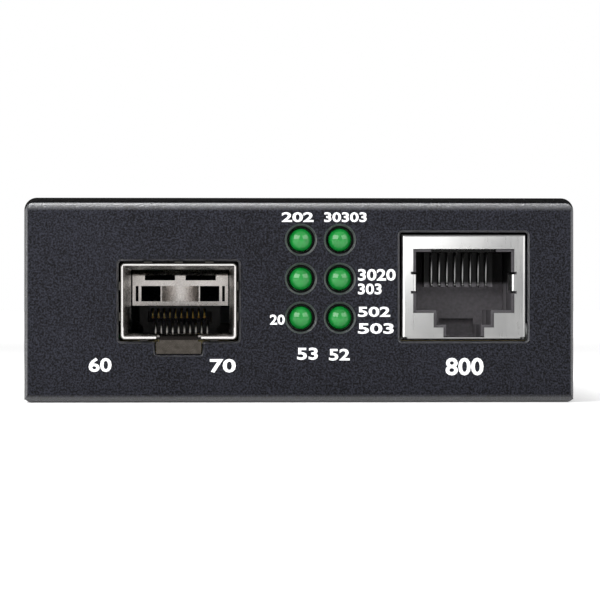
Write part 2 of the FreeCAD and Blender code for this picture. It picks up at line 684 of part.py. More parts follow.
def cross_recess(depth, width, slot):
    """The driver's cross, in a screw head whose top is at the origin and faces +Z."""
    arm = block(-width / 2, width / 2, -slot / 2, slot / 2, -depth, 1)
    other = block(-slot / 2, slot / 2, -width / 2, width / 2, -depth, 1)
    return arm.fuse(other)


def cover_screw(side, y):
    """Countersunk screw, its head just under the cover's outer face."""
    sunk, tip = COVER_SCREW_SUNK, COVER_SCREW_LEN
    head = CONE_R - sunk - CONE_PLAY
    neck = sunk + head - SCREW_R
    profile = [(0, sunk), (head, sunk), (SCREW_R, neck), (SCREW_R, tip), (0, tip)]
    place, outward = Vector(side * (CASE_W / 2 - sunk), y, COVER_SCREW_Z), Vector(side, 0, 0)
    recess = cross_recess(CROSS_DEPTH, CROSS_W, CROSS_SLOT)
    recess.Placement = FreeCAD.Placement(place, FreeCAD.Rotation(Vector(0, 0, 1), outward))
    return turned(profile, (side * CASE_W / 2, y, COVER_SCREW_Z), (-side, 0, 0)).cut(recess)


# --- Board, pillars and screws --------------------------------------------------------------------
def hexagon(flats, x, y, foot, height):
    """A hexagonal prism, flats being the distance across its flats."""
    corner = flats / math.sqrt(3)
    angles = [math.pi * i / 3 for i in range(6)]
    corners = [(x + corner * math.cos(a), y + corner * math.sin(a)) for a in angles]
    return plate("XY", corners, foot, foot + height)


def pillar(x, y):
    """A hexagonal pillar pressed into the floor, flush below, with a blind tapped hole."""
    bore = rod(SCREW_R + THREAD_PLAY, (x, y, BOARD_Z0 - PILLAR_BORE), (0, 0, 1), PILLAR_BORE + 1)
    return hexagon(PILLAR_FLATS, x, y, 0, BOARD_Z0).cut(bore)


def board_screw(x, y):
    """Pan-head screw that holds the board on a pillar."""
    top, tip = BOARD_Z + BOARD_SCREW_HEAD_H, BOARD_Z - BOARD_SCREW_LEN
    head, crown = BOARD_SCREW_HEAD_R, BOARD_SCREW_CROWN_R
    profile = [(0, tip), (SCREW_R, tip), (SCREW_R, BOARD_Z), (head, BOARD_Z), (crown, top), (0, top)]
    return turned(profile, (x, y, 0), (0, 0, 1))


def lamp_lead_ys():
    """Where the leads of each row come down, lowest row first."""
    return [LAMP_TAIL + LAMP_ROW_STEP * (i + 1) for i in range(LAMP_ROWS)]


def jack_tail_places():
    """The jack's solder tails, in two staggered rows."""
    xs = spread(JACK_CONTACTS, JACK_PITCH, JACK_X)
    return [(x, JACK_FACE + JACK_TAIL_BACK + (0 if i % 2 else JACK_TAIL_STEP)) for i, x in enumerate(xs)]


def cage_pin_places():
    return [(CAGE_X + side * (CAGE_HALF - CAGE_GAUGE / 2), CAGE_MOUTH + back)
            for side in (-1, 1) for back in CAGE_PINS_AT]


def jack_peg_places():
    return [(x, JACK_FACE + JACK_PEG_BACK) for x in spread(2, JACK_PEG_PITCH, JACK_X)]


def round_lead_places():
    """Leads of the capacitor can and of the crystal."""
    can = [(x, CAN_POS[1]) for x in spread(2, CAN_LEAD_PITCH, CAN_POS[0])]
    return can + [(x, CRYSTAL_POS[1]) for x in spread(2, CRYSTAL_LEAD_PITCH, CRYSTAL_POS[0])]


def jack_post_places():
    y = JACK_FACE + JACK_PEG_BACK + JACK_POST_STEP
    return [(JACK_X + side * (JACK_W - JACK_SHEET) / 2, y) for side in (-1, 1)]


def inlet_lead_places():
    """(x, y, width along X, width along Y) of the inlet's three flat leads."""
    return [
        (INLET_X, INLET_FACE - INLET_D - INLET_LEAD_T / 2, INLET_LEAD_W, INLET_LEAD_T),
        (INLET_X, INLET_FACE - INLET_LEAF_FOOT, INLET_LEAD_W, INLET_LEAD_T),
        (INLET_X - INLET_W / 2 + INLET_SIDE_IN, INLET_FACE - INLET_SIDE_FOOT, INLET_LEAD_T, INLET_LEAD_W),
    ]


def mouth_notch():
    """The board's notch in front, which leaves the cage's mouth and its spring band free."""
    half = CAGE_HALF + FINGER_GAP + FINGER_GAUGE + BOARD_NOTCH_PLAY
    corners = rectangle(CAGE_X - half, CAGE_X + half, BOARD_FRONT - 1, BOARD_FRONT + BOARD_MOUTH_NOTCH)
    return plate("XY", corners, BOARD_Z0 - 1, BOARD_Z + 1, [0, 0, BOARD_NOTCH_R, BOARD_NOTCH_R])


def drilling(x, y, radius):
    """A round hole through the board."""
    return rod(radius, (x, y, BOARD_Z0 - 1), (0, 0, 1), BOARD_T + 2)


def lead_hole(x, y, wide, deep):
    """A small slot through the board round a lead of the given section."""
    half_w, half_d = wide / 2 + LEAD_PLAY, deep / 2 + LEAD_PLAY
    return block(x - half_w, x + half_w, y - half_d, y + half_d, BOARD_Z0 - 1, BOARD_Z + 1)


def main_board():
    """The printed circuit board with its notch and its holes."""
    outline = rectangle(-BOARD_HALF, BOARD_HALF, BOARD_FRONT, BOARD_REAR)
    board = plate("XY", outline, BOARD_Z0, BOARD_Z, [BOARD_CORNER_R] * 4)
    holes = [drilling(x, y, BOARD_HOLE_R) for x, y in PILLARS]
    holes += [drilling(x, y, JACK_PEG_R + LEAD_PLAY) for x, y in jack_peg_places()]
    for x in LAMP_COLUMNS:
        for y in lamp_lead_ys():
            holes += [lead_hole(lead_x, y, LAMP_LEAD, LAMP_LEAD) for lead_x in spread(2, LAMP_LEAD_PITCH, x)]
    holes += [lead_hole(x, y, JACK_WIRE, JACK_WIRE) for x, y in jack_tail_places()]
    holes += [lead_hole(x, y, JACK_SHEET, JACK_POST_W) for x, y in jack_post_places()]
    holes += [lead_hole(x, y, CAGE_GAUGE, CAGE_PIN_W) for x, y in cage_pin_places()]
    holes += [lead_hole(x, y, CARD_PEG_W, CARD_PEG_W) for x, y in card_peg_places()]
    holes += [lead_hole(x, y, ROUND_LEAD, ROUND_LEAD) for x, y in round_lead_places()]
    holes += [lead_hole(*place) for place in inlet_lead_places()]
    return cut(board, mouth_notch(), *holes)


# --- Module cage ----------------------------------------------------------------------------------
def cage_shell():
    """Roof, side walls and rear flap of the module cage, folded from one sheet."""
    left, right = CAGE_X - CAGE_HALF, CAGE_X + CAGE_HALF
    path = [(left, CAGE_SEAM), (left, CAGE_TOP), (right, CAGE_TOP), (right, CAGE_SEAM)]
    walls = strip("XZ", path, CAGE_GAUGE, CAGE_BEND, CAGE_MOUTH, CAGE_REAR, left=0)
    fold_y = CAGE_REAR - FLAP_BEND - CAGE_GAUGE
    fold_room = block(left + CAGE_GAUGE, right - CAGE_GAUGE, fold_y, CAGE_REAR + 1, CAGE_SEAM, CAGE_TOP + 1)
    half_w, half_l = ROOF_SLOT_W / 2, ROOF_SLOT_L / 2
    y = CAGE_MOUTH + ROOF_SLOT_BACK
    slots = [
        block(x - half_w, x + half_w, y - half_l, y + half_l, CAGE_TOP - 1, CAGE_TOP + 1)
        for x in spread(3, ROOF_SLOT_PITCH, CAGE_X)
    ]
    half_w, half_h = SIDE_SLOT_W / 2, SIDE_SLOT_H / 2
    middle = (CAGE_SEAM + CAGE_TOP) / 2
    side_slots = [
        block(left - 1, right + 1, y - half_w, y + half_w, z - half_h, z + half_h)
        for y in (CAGE_REAR - back for back in SIDE_SLOTS_AT)
        for z in spread(2, SIDE_SLOT_RISE, middle)
    ]
    return fused(cut(walls, fold_room, *slots, *side_slots), rear_flap())


def rear_flap():
    """The flap folded down from the cage's roof: slots at the fold, windows, and a bowed leaf between them.

    The leaf pushes a released module forward.
    """
    half = CAGE_HALF - CAGE_OUT_R
    foot = CAGE_TOP - FLAP_DROP
    roof_end = CAGE_REAR - FLAP_BEND - CAGE_GAUGE - FLAP_ROOF
    path = [(roof_end, CAGE_TOP), (CAGE_REAR, CAGE_TOP), (CAGE_REAR, foot)]
    flap = strip("YZ", path, CAGE_GAUGE, FLAP_BEND, CAGE_X - half, CAGE_X + half, left=0)
    slot_foot = CAGE_TOP - FLAP_SLOT_TOP - FLAP_SLOT_H
    high = slot_foot - FLAP_BAR
    low = foot + FLAP_FOOT_BAR
    window_end = FLAP_LEAF_HALF + FLAP_WINDOW_W
    side_slot = window_end + FLAP_SIDE_SLOT_W
    leaf_half = FLAP_LEAF_HALF - FLAP_POST
    holes = [(-leaf_half, leaf_half, low, high)]
    for inner, outer, z0, z1 in (
        (FLAP_SLOT_H, window_end - FLAP_SLOT_SHORT, slot_foot, slot_foot + FLAP_SLOT_H),
        (FLAP_LEAF_HALF, window_end, low, high),
        (side_slot, side_slot + FLAP_SIDE_SLOT_W, low, high),
    ):
        holes += [(inner, outer, z0, z1), (-outer, -inner, z0, z1)]
    front, back = CAGE_REAR - 1, CAGE_REAR + 1
    cuts = [block(CAGE_X + x0, CAGE_X + x1, front, back, z0, z1) for x0, x1, z0, z1 in holes]
    half_chord = leaf_half + FLAP_POST / 2
    radius = (half_chord**2 + FLAP_LEAF_RISE**2) / (2 * FLAP_LEAF_RISE)
    centre = (CAGE_X, CAGE_REAR - CAGE_GAUGE - FLAP_LEAF_RISE + radius, low)
    outside, inside = (rod(r, centre, (0, 0, 1), high - low) for r in (radius, radius - CAGE_GAUGE))
    room = block(CAGE_X - half_chord, CAGE_X + half_chord, CAGE_REAR - 3, CAGE_REAR, low, high)
    return fused(cut(flap, *cuts), outside.cut(inside).common(room))


def cage_base():
    """The cage's floor channel, with its latch tongue and the pins that hold it in the board."""
    left, right = CAGE_X - CAGE_HALF, CAGE_X + CAGE_HALF
    path = [(left, CAGE_SEAM), (left, CAGE_Z), (right, CAGE_Z), (right, CAGE_SEAM)]
    rear = CAGE_REAR - CAGE_OUT_R
    channel = strip("XZ", path, CAGE_GAUGE, CAGE_BEND, CAGE_MOUTH, rear, left=CAGE_GAUGE)
    below, above = CAGE_Z - 1, CAGE_Z + 1
    half, root = LATCH_W / 2 + LATCH_SLOT, CAGE_MOUTH + LATCH_LEN
    tongue_room = block(CAGE_X - half, CAGE_X + half, CAGE_MOUTH - 1, root, below, above)
    half = CARD_W / 2 + CARD_ROOM_SIDE
    card_room = block(CAGE_X - half, CAGE_X + half, CARD_FACE - CARD_ROOM_FRONT, rear + 1, below, above)
    half_t, half_w = CAGE_GAUGE / 2, CAGE_PIN_W / 2
    pins = [
        block(x - half_t, x + half_t, y - half_w, y + half_w, LEAD_END, CAGE_SEAM)
        for x, y in cage_pin_places()
    ]
    return fused(cut(channel, tongue_room, card_room), latch_tongue(), *pins)


def latch_tongue():
    """The sprung tongue that holds a module: a rising leaf, a three-cornered catch and a lip folded down."""
    root, front = CAGE_MOUTH + LATCH_LEN, CAGE_MOUTH + CAGE_PROUD
    path = [
        (root + LATCH_ROOT, CAGE_Z), (root, CAGE_Z), (front, CAGE_Z + LATCH_RISE),
        (front + CAGE_GAUGE, CAGE_Z - LATCH_DROP),
    ]
    half = LATCH_LIP_W / 2
    leaf = strip("YZ", path, CAGE_GAUGE, LATCH_BEND, CAGE_X - half, CAGE_X + half, left=0)
    x0, x1 = CAGE_X + LATCH_W / 2, CAGE_X + half + 1
    side = block(x0, x1, CAGE_MOUTH - 1, root, CAGE_Z - CAGE_OPENING_PLAY, CAGE_TOP)
    base, tip = CAGE_MOUTH + CATCH_BACK, CAGE_MOUTH + CATCH_BACK + CATCH_LEN
    corners = [(CAGE_X - CATCH_W / 2, base), (CAGE_X + CATCH_W / 2, base), (CAGE_X, tip)]
    catch = plate("XY", corners, CAGE_Z - 1, CAGE_Z + 1)
    return cut(leaf, side, mirrored(side, CAGE_X), catch)


def spring_finger(plane, wall, outward, place):
    """One finger: flat on the cage's wall, bowed out to the panel's opening, its tip back on the cage."""
    bow = outward * (CAGE_OPENING_PLAY - 2 * FINGER_GAP - FINGER_GAUGE)
    middle, half_crest = FRONT + TRAY_GAUGE / 2, FINGER_CREST / 2
    line = [
        (BAND_FRONT + FINGER_ROOT, wall), (BAND_FRONT - FINGER_KNEE, wall), (middle + half_crest, wall + bow),
        (middle - half_crest, wall + bow), (FRONT - FINGER_TIP, wall),
    ]
    if plane == "XY":
        line = [(x, y) for y, x in line]
    left = FINGER_GAUGE if (outward > 0) == (plane == "XY") else 0
    return strip(plane, line, FINGER_GAUGE, 0, place - FINGER_W / 2, place + FINGER_W / 2, left=left)


def spring_fingers():
    """The spring band round the cage, open below the latch tongue, with its nine fingers."""
    side_x = CAGE_HALF + FINGER_GAP
    low, high = CAGE_Z - FINGER_GAP, CAGE_TOP + FINGER_GAP
    gap = LATCH_LIP_W / 2 + BAND_GAP
    path = [(CAGE_X - gap, low), (CAGE_X - side_x, low), (CAGE_X - side_x, high),
            (CAGE_X + side_x, high), (CAGE_X + side_x, low), (CAGE_X + gap, low)]
    bend = CAGE_OUT_R + FINGER_GAP
    band = strip("XZ", path, FINGER_GAUGE, bend, BAND_FRONT, BAND_FRONT + FINGER_BAND, left=FINGER_GAUGE)
    fingers = [spring_finger("YZ", high, 1, x) for x in spread(3, FINGER_PITCH, CAGE_X)]
    fingers += [spring_finger("YZ", low, -1, x) for x in spread(2, FINGER_PITCH_BELOW, CAGE_X)]
    for z in spread(2, FINGER_PITCH, (CAGE_Z + CAGE_TOP) / 2):
        fingers += [spring_finger("XY", CAGE_X + side * side_x, side, z) for side in (-1, 1)]
    return fused(band, *fingers)


# --- Card connector -------------------------------------------------------------------------------
def card_body():
    """The connector at the cage's far end: a card slot between two rows of contact grooves."""
    slot_z = BOARD_Z + CARD_SLOT_Z
    slot_top = slot_z + CARD_SLOT_H
    front, back = CARD_FACE - 1, CARD_FACE + CARD_D
    half, foot_half, top = CARD_W / 2, CARD_FOOT_W / 2, BOARD_Z + CARD_H
    narrow, broad = BOARD_Z + CARD_FOOT_H, BOARD_Z + CARD_FOOT_H + (CARD_W - CARD_FOOT_W) / 2
    right = [(foot_half, BOARD_Z), (foot_half, narrow), (half, broad), (half, top)]
    outline = [(CAGE_X + u, v) for u, v in right] + [(CAGE_X - u, v) for u, v in right[::-1]]
    body = plate("XZ", outline, CARD_FACE, back)
    x0, x1 = CAGE_X - CARD_SLOT_W / 2, CAGE_X + CARD_SLOT_W / 2
    slot = block(x0, x1, front, CARD_FACE + CARD_SLOT_D, slot_z, slot_top)
    foot = block(x0, x1, front, CARD_FACE + CARD_FOOT_BACK, BOARD_Z - 1, slot_z + SINK)
    room = CARD_CONTACT_W / 2 + CARD_GROOVE_PLAY
    grooves = []
    for x in card_contact_xs(-1):
        z0, z1 = slot_top - SINK, slot_top + CARD_ROOF_GROOVE
        grooves.append(block(x - room, x + room, front, back + 1, z0, z1))
    for x in card_contact_xs(1):
        z0, z1 = slot_z - CARD_FLOOR_GROOVE, slot_z + SINK
        grooves.append(block(x - room, x + room, front, CARD_FACE + CARD_FLOOR_GROOVE_D, z0, z1))
    peg, peg_foot = CARD_PEG_W / 2, BOARD_Z - CARD_PEG_LEN
    pegs = [
        block(x - peg, x + peg, y - peg, y + peg, peg_foot, BOARD_Z + SINK) for x, y in card_peg_places()
    ]
    return fused(cut(body, slot, foot, *grooves), *pegs)


def card_peg_places():
    return [(x, CARD_FACE + CARD_D / 2) for x in spread(2, CARD_PEG_PITCH, CAGE_X)]


def card_contact_xs(row):
    """Contact places of the upper row (-1) or the lower row (+1), half a pitch apart."""
    return spread(CARD_CONTACTS, CARD_PITCH, CAGE_X + row * CARD_PITCH / 4)


def card_contact(x, path):
    half = CARD_CONTACT_W / 2
    return strip("YZ", path, CARD_CONTACT_T, None, x - half, x + half)


def upper_card_contacts():
    """Spring beams in the slot's roof, their tails soldered behind the connector."""
    half_t = CARD_CONTACT_T / 2
    roof = BOARD_Z + CARD_SLOT_Z + CARD_SLOT_H + CARD_ROOF_GROOVE - CARD_GROOVE_PLAY - half_t
    back = CARD_FACE + CARD_D + CARD_TAIL_GAP + half_t
    beam = [(CARD_FACE + reach, roof - drop) for reach, drop in (CARD_BEAM_TIP, CARD_BEAM_CREST)]
    path = beam + [
        (CARD_FACE + CARD_BEAM_ROOT, roof), (back, roof), (back, BOARD_Z + half_t),
        (back + CARD_TAIL, BOARD_Z + half_t),
    ]
    return [card_contact(x, path) for x in card_contact_xs(-1)]


def lower_card_contacts():
    """Beams in the slot's floor, their tails folded down in front of the connector."""
    half_t = CARD_CONTACT_T / 2
    floor = BOARD_Z + CARD_SLOT_Z
    foot = CARD_FACE - CARD_LOWER_FOOT
    beam = [(CARD_FACE + reach, floor + rise) for reach, rise in (CARD_LOWER_END, CARD_LOWER_CREST)]
    path = beam + [
        (CARD_FACE - half_t, floor + CARD_LOWER_SHOULDER), (foot, BOARD_Z + half_t),
        (foot - CARD_TAIL, BOARD_Z + half_t),
    ]
    return [card_contact(x, path) for x in card_contact_xs(1)]


# --- Network jack ---------------------------------------------------------------------------------
def key_outline(inset):
    """The jack's keyed opening, drawn in by inset: body, step and latch channel."""
    key, step, latch = (w / 2 - inset for w in (JACK_KEY_W, JACK_STEP_W, JACK_LATCH_W))
    top = JACK_Z + JACK_KEY_TOP - inset
    ledge = JACK_Z + JACK_KEY_Z + inset
    shelf = JACK_Z + JACK_STEP_Z + inset
    foot = JACK_Z + JACK_SHEET
    half = [(key, top), (key, ledge), (step, ledge), (step, shelf), (latch, shelf), (latch, foot)]
    return [(JACK_X + u, v) for u, v in half] + [(JACK_X - u, v) for u, v in half[::-1]]


def jack_shield():
    """The jack's sheet-metal jacket: face, roof, sides and back, with two grounding tabs."""
    half = JACK_W / 2
    outer = block(JACK_X - half, JACK_X + half, JACK_FACE, JACK_BACK, JACK_Z, JACK_TOP)
    front_rim = [e for e in outer.Edges if all(abs(v.Y - JACK_FACE) < 1e-6 for v in e.Vertexes)]
    outer = outer.makeFillet(JACK_EDGE, front_rim)
    t = JACK_SHEET
    x0, x1 = JACK_X - half + t, JACK_X + half - t
    inner = block(x0, x1, JACK_FACE + t, JACK_BACK - t, JACK_Z + t, JACK_TOP - t)
    inner_rim = [e for e in inner.Edges if all(abs(v.Y - JACK_FACE - t) < 1e-6 for v in e.Vertexes)]
    inner = inner.makeFillet(JACK_EDGE - t, inner_rim)
    open_foot = block(x0, x1, JACK_FACE + JACK_FOOT_LIP, JACK_BACK - t, JACK_Z - 1, JACK_Z + 1)
    front, behind = JACK_FACE - 1, JACK_FACE + 1
    key = plate("XZ", key_outline(0), front, behind)
    tab_z, tab_half, slit = JACK_Z + JACK_TAB_Z, JACK_TAB_H / 2, JACK_TAB_SLIT
    edge = JACK_X + JACK_KEY_W / 2
    relief = [
        block(edge - SINK, edge + JACK_TAB_ROOT, front, behind, z, z + slit)
        for z in (tab_z - tab_half - slit, tab_z + tab_half)
    ]
    corner_x, corner_y = JACK_X + half - JACK_CORNER_W, JACK_FACE + JACK_CORNER_D
    corner = block(corner_x, JACK_X + half + 1, front, corner_y, JACK_Z - 1, JACK_Z + JACK_CORNER_H)
    cuts = relief + [mirrored(r, JACK_X) for r in relief] + [corner, mirrored(corner, JACK_X)]
    shell = cut(outer, inner, open_foot, key, *cuts)
    tab = jack_tab(tab_z)
    thin, wide, post_top = JACK_SHEET / 2, JACK_POST_W / 2, JACK_Z + JACK_SHEET * 2
    posts = [
        block(x - thin, x + thin, y - wide, y + wide, LEAD_END, post_top) for x, y in jack_post_places()
    ]
    return fused(shell, tab, mirrored(tab, JACK_X), *posts)


def jack_tab(z):
    """The right-hand grounding tab: folded in from the face, touching a plug's side."""
    edge = JACK_X + JACK_KEY_W / 2
    path = [
        (edge + JACK_TAB_ROOT, JACK_FACE), (edge - JACK_TAB_FOLD, JACK_FACE),
        (edge - JACK_TAB_BULGE, JACK_FACE + JACK_TAB_D / 2), (edge - JACK_TAB_TIP, JACK_FACE + JACK_TAB_D),
    ]
    return strip("XY", path, JACK_SHEET, JACK_SHEET / 2, z - JACK_TAB_H / 2, z + JACK_TAB_H / 2, left=0)


def jack_insert():
    """The jack's moulded body: keyed cavity, comb for the contacts, wire grooves and board pegs."""
    t = JACK_SHEET + JACK_INSERT_PLAY
    half = JACK_W / 2 - t
    face, back, top = JACK_FACE + t, JACK_BACK - t, JACK_TOP - t
    front = face - 1
    body = block(JACK_X - half, JACK_X + half, face, back, JACK_Z, top)
    rim = [e for e in body.Edges if all(abs(v.Y - face) < 1e-6 for v in e.Vertexes)]
    body = body.makeFillet(JACK_EDGE, rim)

    sill_top = JACK_Z + t + SINK
    sill = block(JACK_X - half - 1, JACK_X + half + 1, front, JACK_FACE + JACK_SILL_D, JACK_Z - 1, sill_top)
    cavity_back = JACK_FACE + JACK_CAVITY_D
    cavity_top = JACK_Z + JACK_KEY_TOP - JACK_INSET
    cavity = plate("XZ", key_outline(JACK_INSET), front, cavity_back)
    half = JACK_LATCH_W / 2 - JACK_INSET
    pit_y, pit_z = cavity_back + JACK_PIT_PAST, JACK_Z + JACK_PIT_FLOOR
    latch_pit = block(JACK_X - half, JACK_X + half, face + JACK_PIT_FRONT, pit_y, pit_z, pit_z + JACK_PIT_H)
    half, tab_z = JACK_KEY_W / 2 + SINK, JACK_Z + JACK_TAB_Z
    reach, rise = JACK_FACE + JACK_TAB_D + JACK_TAB_REACH, JACK_TAB_H / 2 + JACK_TAB_ROOM
    tab_room = block(JACK_X - half, JACK_X + half, front, reach, tab_z - rise, tab_z + rise)
    half = JACK_STEP_W / 2 + JACK_NOSE_SIDE
    nose_room = block(JACK_X - half, JACK_X + half, front, face + JACK_NOSE_D, cavity_top - SINK, top + 1)
    shell = cut(body, sill, cavity, latch_pit, tab_room, nose_room)

    half, comb_foot = JACK_STEP_W / 2 + JACK_COMB_SIDE, JACK_Z + JACK_COMB_Z
    comb_y0, comb_y1 = cavity_back - JACK_COMB_D, cavity_back + SINK
    comb = block(JACK_X - half, JACK_X + half, comb_y0, comb_y1, comb_foot, cavity_top + SINK)
    shell = fused(shell, comb)

    room = JACK_WIRE / 2 + JACK_GROOVE_PLAY
    grooves = []
    for x, y in jack_tail_places():
        x0, x1 = x - room, x + room
        grooves.append(block(x0, x1, front, y + room, top - JACK_ROOF_GROOVE, top + 1))
        grooves.append(block(x0, x1, y - room, y + room, JACK_Z - 1, top + 1))
        grooves.append(block(x0, x1, face, cavity_back - JACK_COMB_SLIT, comb_foot - 1, cavity_top))
    foot = BOARD_Z0 - JACK_PEG_STANDOUT
    peg_len = JACK_Z + JACK_PIT_FLOOR - foot
    pegs = [rod(JACK_PEG_R, (x, y, foot), (0, 0, 1), peg_len) for x, y in jack_peg_places()]
    return fused(cut(shell, *grooves), *pegs)


def jack_contacts():
    """Eight wires: down from the jack's nose into the comb, over its roof and down to the board."""
    t = JACK_SHEET + JACK_INSERT_PLAY
    top = JACK_TOP - t - JACK_WIRE_COVER
    nose, nose_z = JACK_FACE + t + JACK_WIRE_NOSE, JACK_Z + JACK_KEY_TOP
    tip, tip_z = JACK_FACE + JACK_CAVITY_D - JACK_WIRE_TIP, JACK_Z + JACK_COMB_Z + JACK_WIRE
    bend_back, bend_up = JACK_WIRE_BEND
    wires = []
    for x, y in jack_tail_places():
        path = [
            (tip, tip_z), (tip - JACK_WIRE_FLAT, tip_z), (nose + bend_back, nose_z + bend_up),
            (nose, nose_z + JACK_WIRE_BROW), (nose + JACK_WIRE_CREST, top), (y, top), (y, LEAD_END),
        ]
        wires.append(strip("YZ", path, JACK_WIRE, None, x - JACK_WIRE / 2, x + JACK_WIRE / 2))
    return wires


# --- Lamps ----------------------------------------------------------------------------------------
def lamp(x, z):
    """A round green lamp: a barrel with a domed front."""
    crown = Vector(0, 0, 0)
    halfway = Vector(LAMP_R * math.sin(math.pi / 4), 0, LAMP_R * (1 - math.cos(math.pi / 4)))
    shoulder = Vector(LAMP_R, 0, LAMP_R)
    dome = Part.Arc(crown, halfway, shoulder).toShape()
    rest = Part.makePolygon([shoulder, Vector(LAMP_R, 0, LAMP_LEN), Vector(0, 0, LAMP_LEN), crown])
    bullet = Part.Face(Part.Wire([dome] + rest.Edges)).revolve(crown, Vector(0, 0, 1), 360)
    backwards = FreeCAD.Rotation(Vector(0, 0, 1), Vector(0, 1, 0))
    bullet.Placement = FreeCAD.Placement(Vector(x, LAMP_TIP, z), backwards)
    return bullet


def lamp_leads():
    """Two square leads a lamp, back from its flange and down through the board."""
    leads = []
    for x in LAMP_COLUMNS:
        for z, y in zip(LAMP_HEIGHTS, lamp_lead_ys()):
            for lead_x in spread(2, LAMP_LEAD_PITCH, x):
                half = LAMP_LEAD / 2
                path = [(LAMP_TAIL, z), (y, z), (y, LEAD_END)]
                leads.append(strip("YZ", path, LAMP_LEAD, None, lead_x - half, lead_x + half))
    return leads


def lamp_holder(x):
    """A moulded tower that grips three lamps at the panel, open behind for their leads."""
    highest = LAMP_HEIGHTS[-1]
    half, back = HOLDER_W / 2, HOLDER_FACE + HOLDER_D
    tower = block(x - half, x + half, HOLDER_FACE, back, BOARD_Z, highest + HOLDER_ABOVE)
    bores = [rod(LAMP_R + LAMP_PLAY, (x, HOLDER_FACE - 1, z), (0, 1, 0), HOLDER_D / 2) for z in LAMP_HEIGHTS]
    half = (LAMP_LEAD_PITCH + LAMP_LEAD) / 2 + HOLDER_WELL_PLAY
    grip_end, well_top = LAMP_TAIL - HOLDER_WELL_PLAY, highest + LAMP_R + HOLDER_WELL_PLAY
    well = block(x - half, x + half, grip_end, back + 1, BOARD_Z - 1, well_top)
    return cut(tower, *bores, well)


# --- Power inlet ----------------------------------------------------------------------------------
def inlet_body():
    """The moulded power jack: a block at the board, a round barrel behind the panel."""
    half = INLET_W / 2
    left, right = INLET_X - half, INLET_X + half
    face, back = INLET_FACE, INLET_FACE - INLET_D
    shoulder = face - INLET_PLATE_D
    lower = block(left, right, back, shoulder, BOARD_Z, INLET_Z + INLET_BLOCK_RISE)
    outline = rectangle(left, right, BOARD_Z, BOARD_Z + INLET_H)
    face_plate = plate("XZ", outline, shoulder, face, [0, 0, INLET_CORNER, INLET_CORNER])
    barrel = rod(INLET_NOSE_R, (INLET_X, back, INLET_Z), (0, 1, 0), INLET_D)
    bore_end = face - INLET_PIN_BACK - INLET_PIN_LEN
    bore = rod(INLET_BORE_R, (INLET_X, bore_end, INLET_Z), (0, 1, 0), INLET_D)
    pin_seat = rod(INLET_PIN_SEAT_R, (INLET_X, back - 1, INLET_Z), (0, 1, 0), INLET_D)
    floor = INLET_Z - INLET_BORE_R
    (_, _, wide, _), (side_x, side_y, side_t, side_w) = inlet_lead_places()[1:]
    half = wide / 2 + INLET_SLOT_PLAY
    y0, y1 = face - INLET_LEAF_END - INLET_SLOT_PLAY, face - INLET_LEAF_START + INLET_SLOT_PLAY
    leaf_slot = block(INLET_X - half, INLET_X + half, y0, y1, BOARD_Z - 1, floor + INLET_SLOT_RISE)
    x1, half = side_x + side_t / 2 + INLET_SLOT_PLAY, side_w / 2 + INLET_SLOT_PLAY
    slot_top = INLET_SIDE_TOP + INLET_SLOT_PLAY
    side_slot = block(left - 1, x1, side_y - half, side_y + half, BOARD_Z - 1, slot_top)
    return cut(fused(lower, face_plate, barrel), bore, pin_seat, leaf_slot, side_slot)


def inlet_pin():
    """The inlet's centre pin, its tail folded down to the board."""
    back = INLET_FACE - INLET_D
    foot = INLET_FACE - INLET_PIN_BACK - INLET_PIN_LEN
    pin = rod(INLET_PIN_R, (INLET_X, foot, INLET_Z), (0, 1, 0), INLET_PIN_LEN)
    neck = rod(INLET_PIN_SEAT_R, (INLET_X, back, INLET_Z), (0, 1, 0), foot - back)
    x, y, wide, thick = inlet_lead_places()[0]
    tail_top = INLET_Z + INLET_TAIL_RISE
    tail = block(x - wide / 2, x + wide / 2, y - thick / 2, y + thick / 2, LEAD_END, tail_top)
    return fused(pin, neck, tail)


def inlet_leaf():
    """The inlet's sprung contact, which touches a plug's sleeve from below."""
    _, y, wide, _ = inlet_lead_places()[1]
    floor = INLET_Z - INLET_BORE_R
    start, end = INLET_FACE - INLET_LEAF_START, y
    crest = start + (end - start) * INLET_LEAF_CREST_AT
    path = [
        (start, floor + INLET_LEAF_TIP), (crest, floor + INLET_LEAF_CREST), (end, floor + INLET_LEAF_ROOT),
        (end, LEAD_END),
    ]
    return strip("YZ", path, INLET_LEAF_T, INLET_LEAF_BEND, INLET_X - wide / 2, INLET_X + wide / 2)


def inlet_switch():
    """The inlet's side contact, a flat blade into the board."""
    x, y, thick, wide = inlet_lead_places()[2]
    return block(x - thick / 2, x + thick / 2, y - wide / 2, y + wide / 2, LEAD_END, INLET_SIDE_TOP)


# --- Parts on the board ---------------------------------------------------------------------------
def gull_leads(x, y, half_x, half_z, count, pitch):
    """Gull-wing leads along the two sides of a package that face -X and +X."""
    foot_z = BOARD_Z + GULL_T / 2
    leads = []
    for side in (-1, 1):
        reaches = [half_x + step for step in (0, GULL_KNEE, GULL_HEEL, GULL_TOE)]
        heights = [BOARD_Z + half_z, BOARD_Z + half_z, foot_z, foot_z]
        path = [(x + side * reach, z) for reach, z in zip(reaches, heights)]
        for place in spread(count, pitch, y):
            leads.append(strip("XZ", path, GULL_T, None, place - GULL_W / 2, place + GULL_W / 2))
    return leads


def turned_leads(centre, half_y, half_z, count, pitch):
    """Gull-wing leads along the sides that face -Y and +Y."""
    leads = gull_leads(*centre, half_y, half_z, count, pitch)
    for lead in leads:
        lead.rotate(Vector(*centre, 0), Vector(0, 0, 1), 90)
    return leads


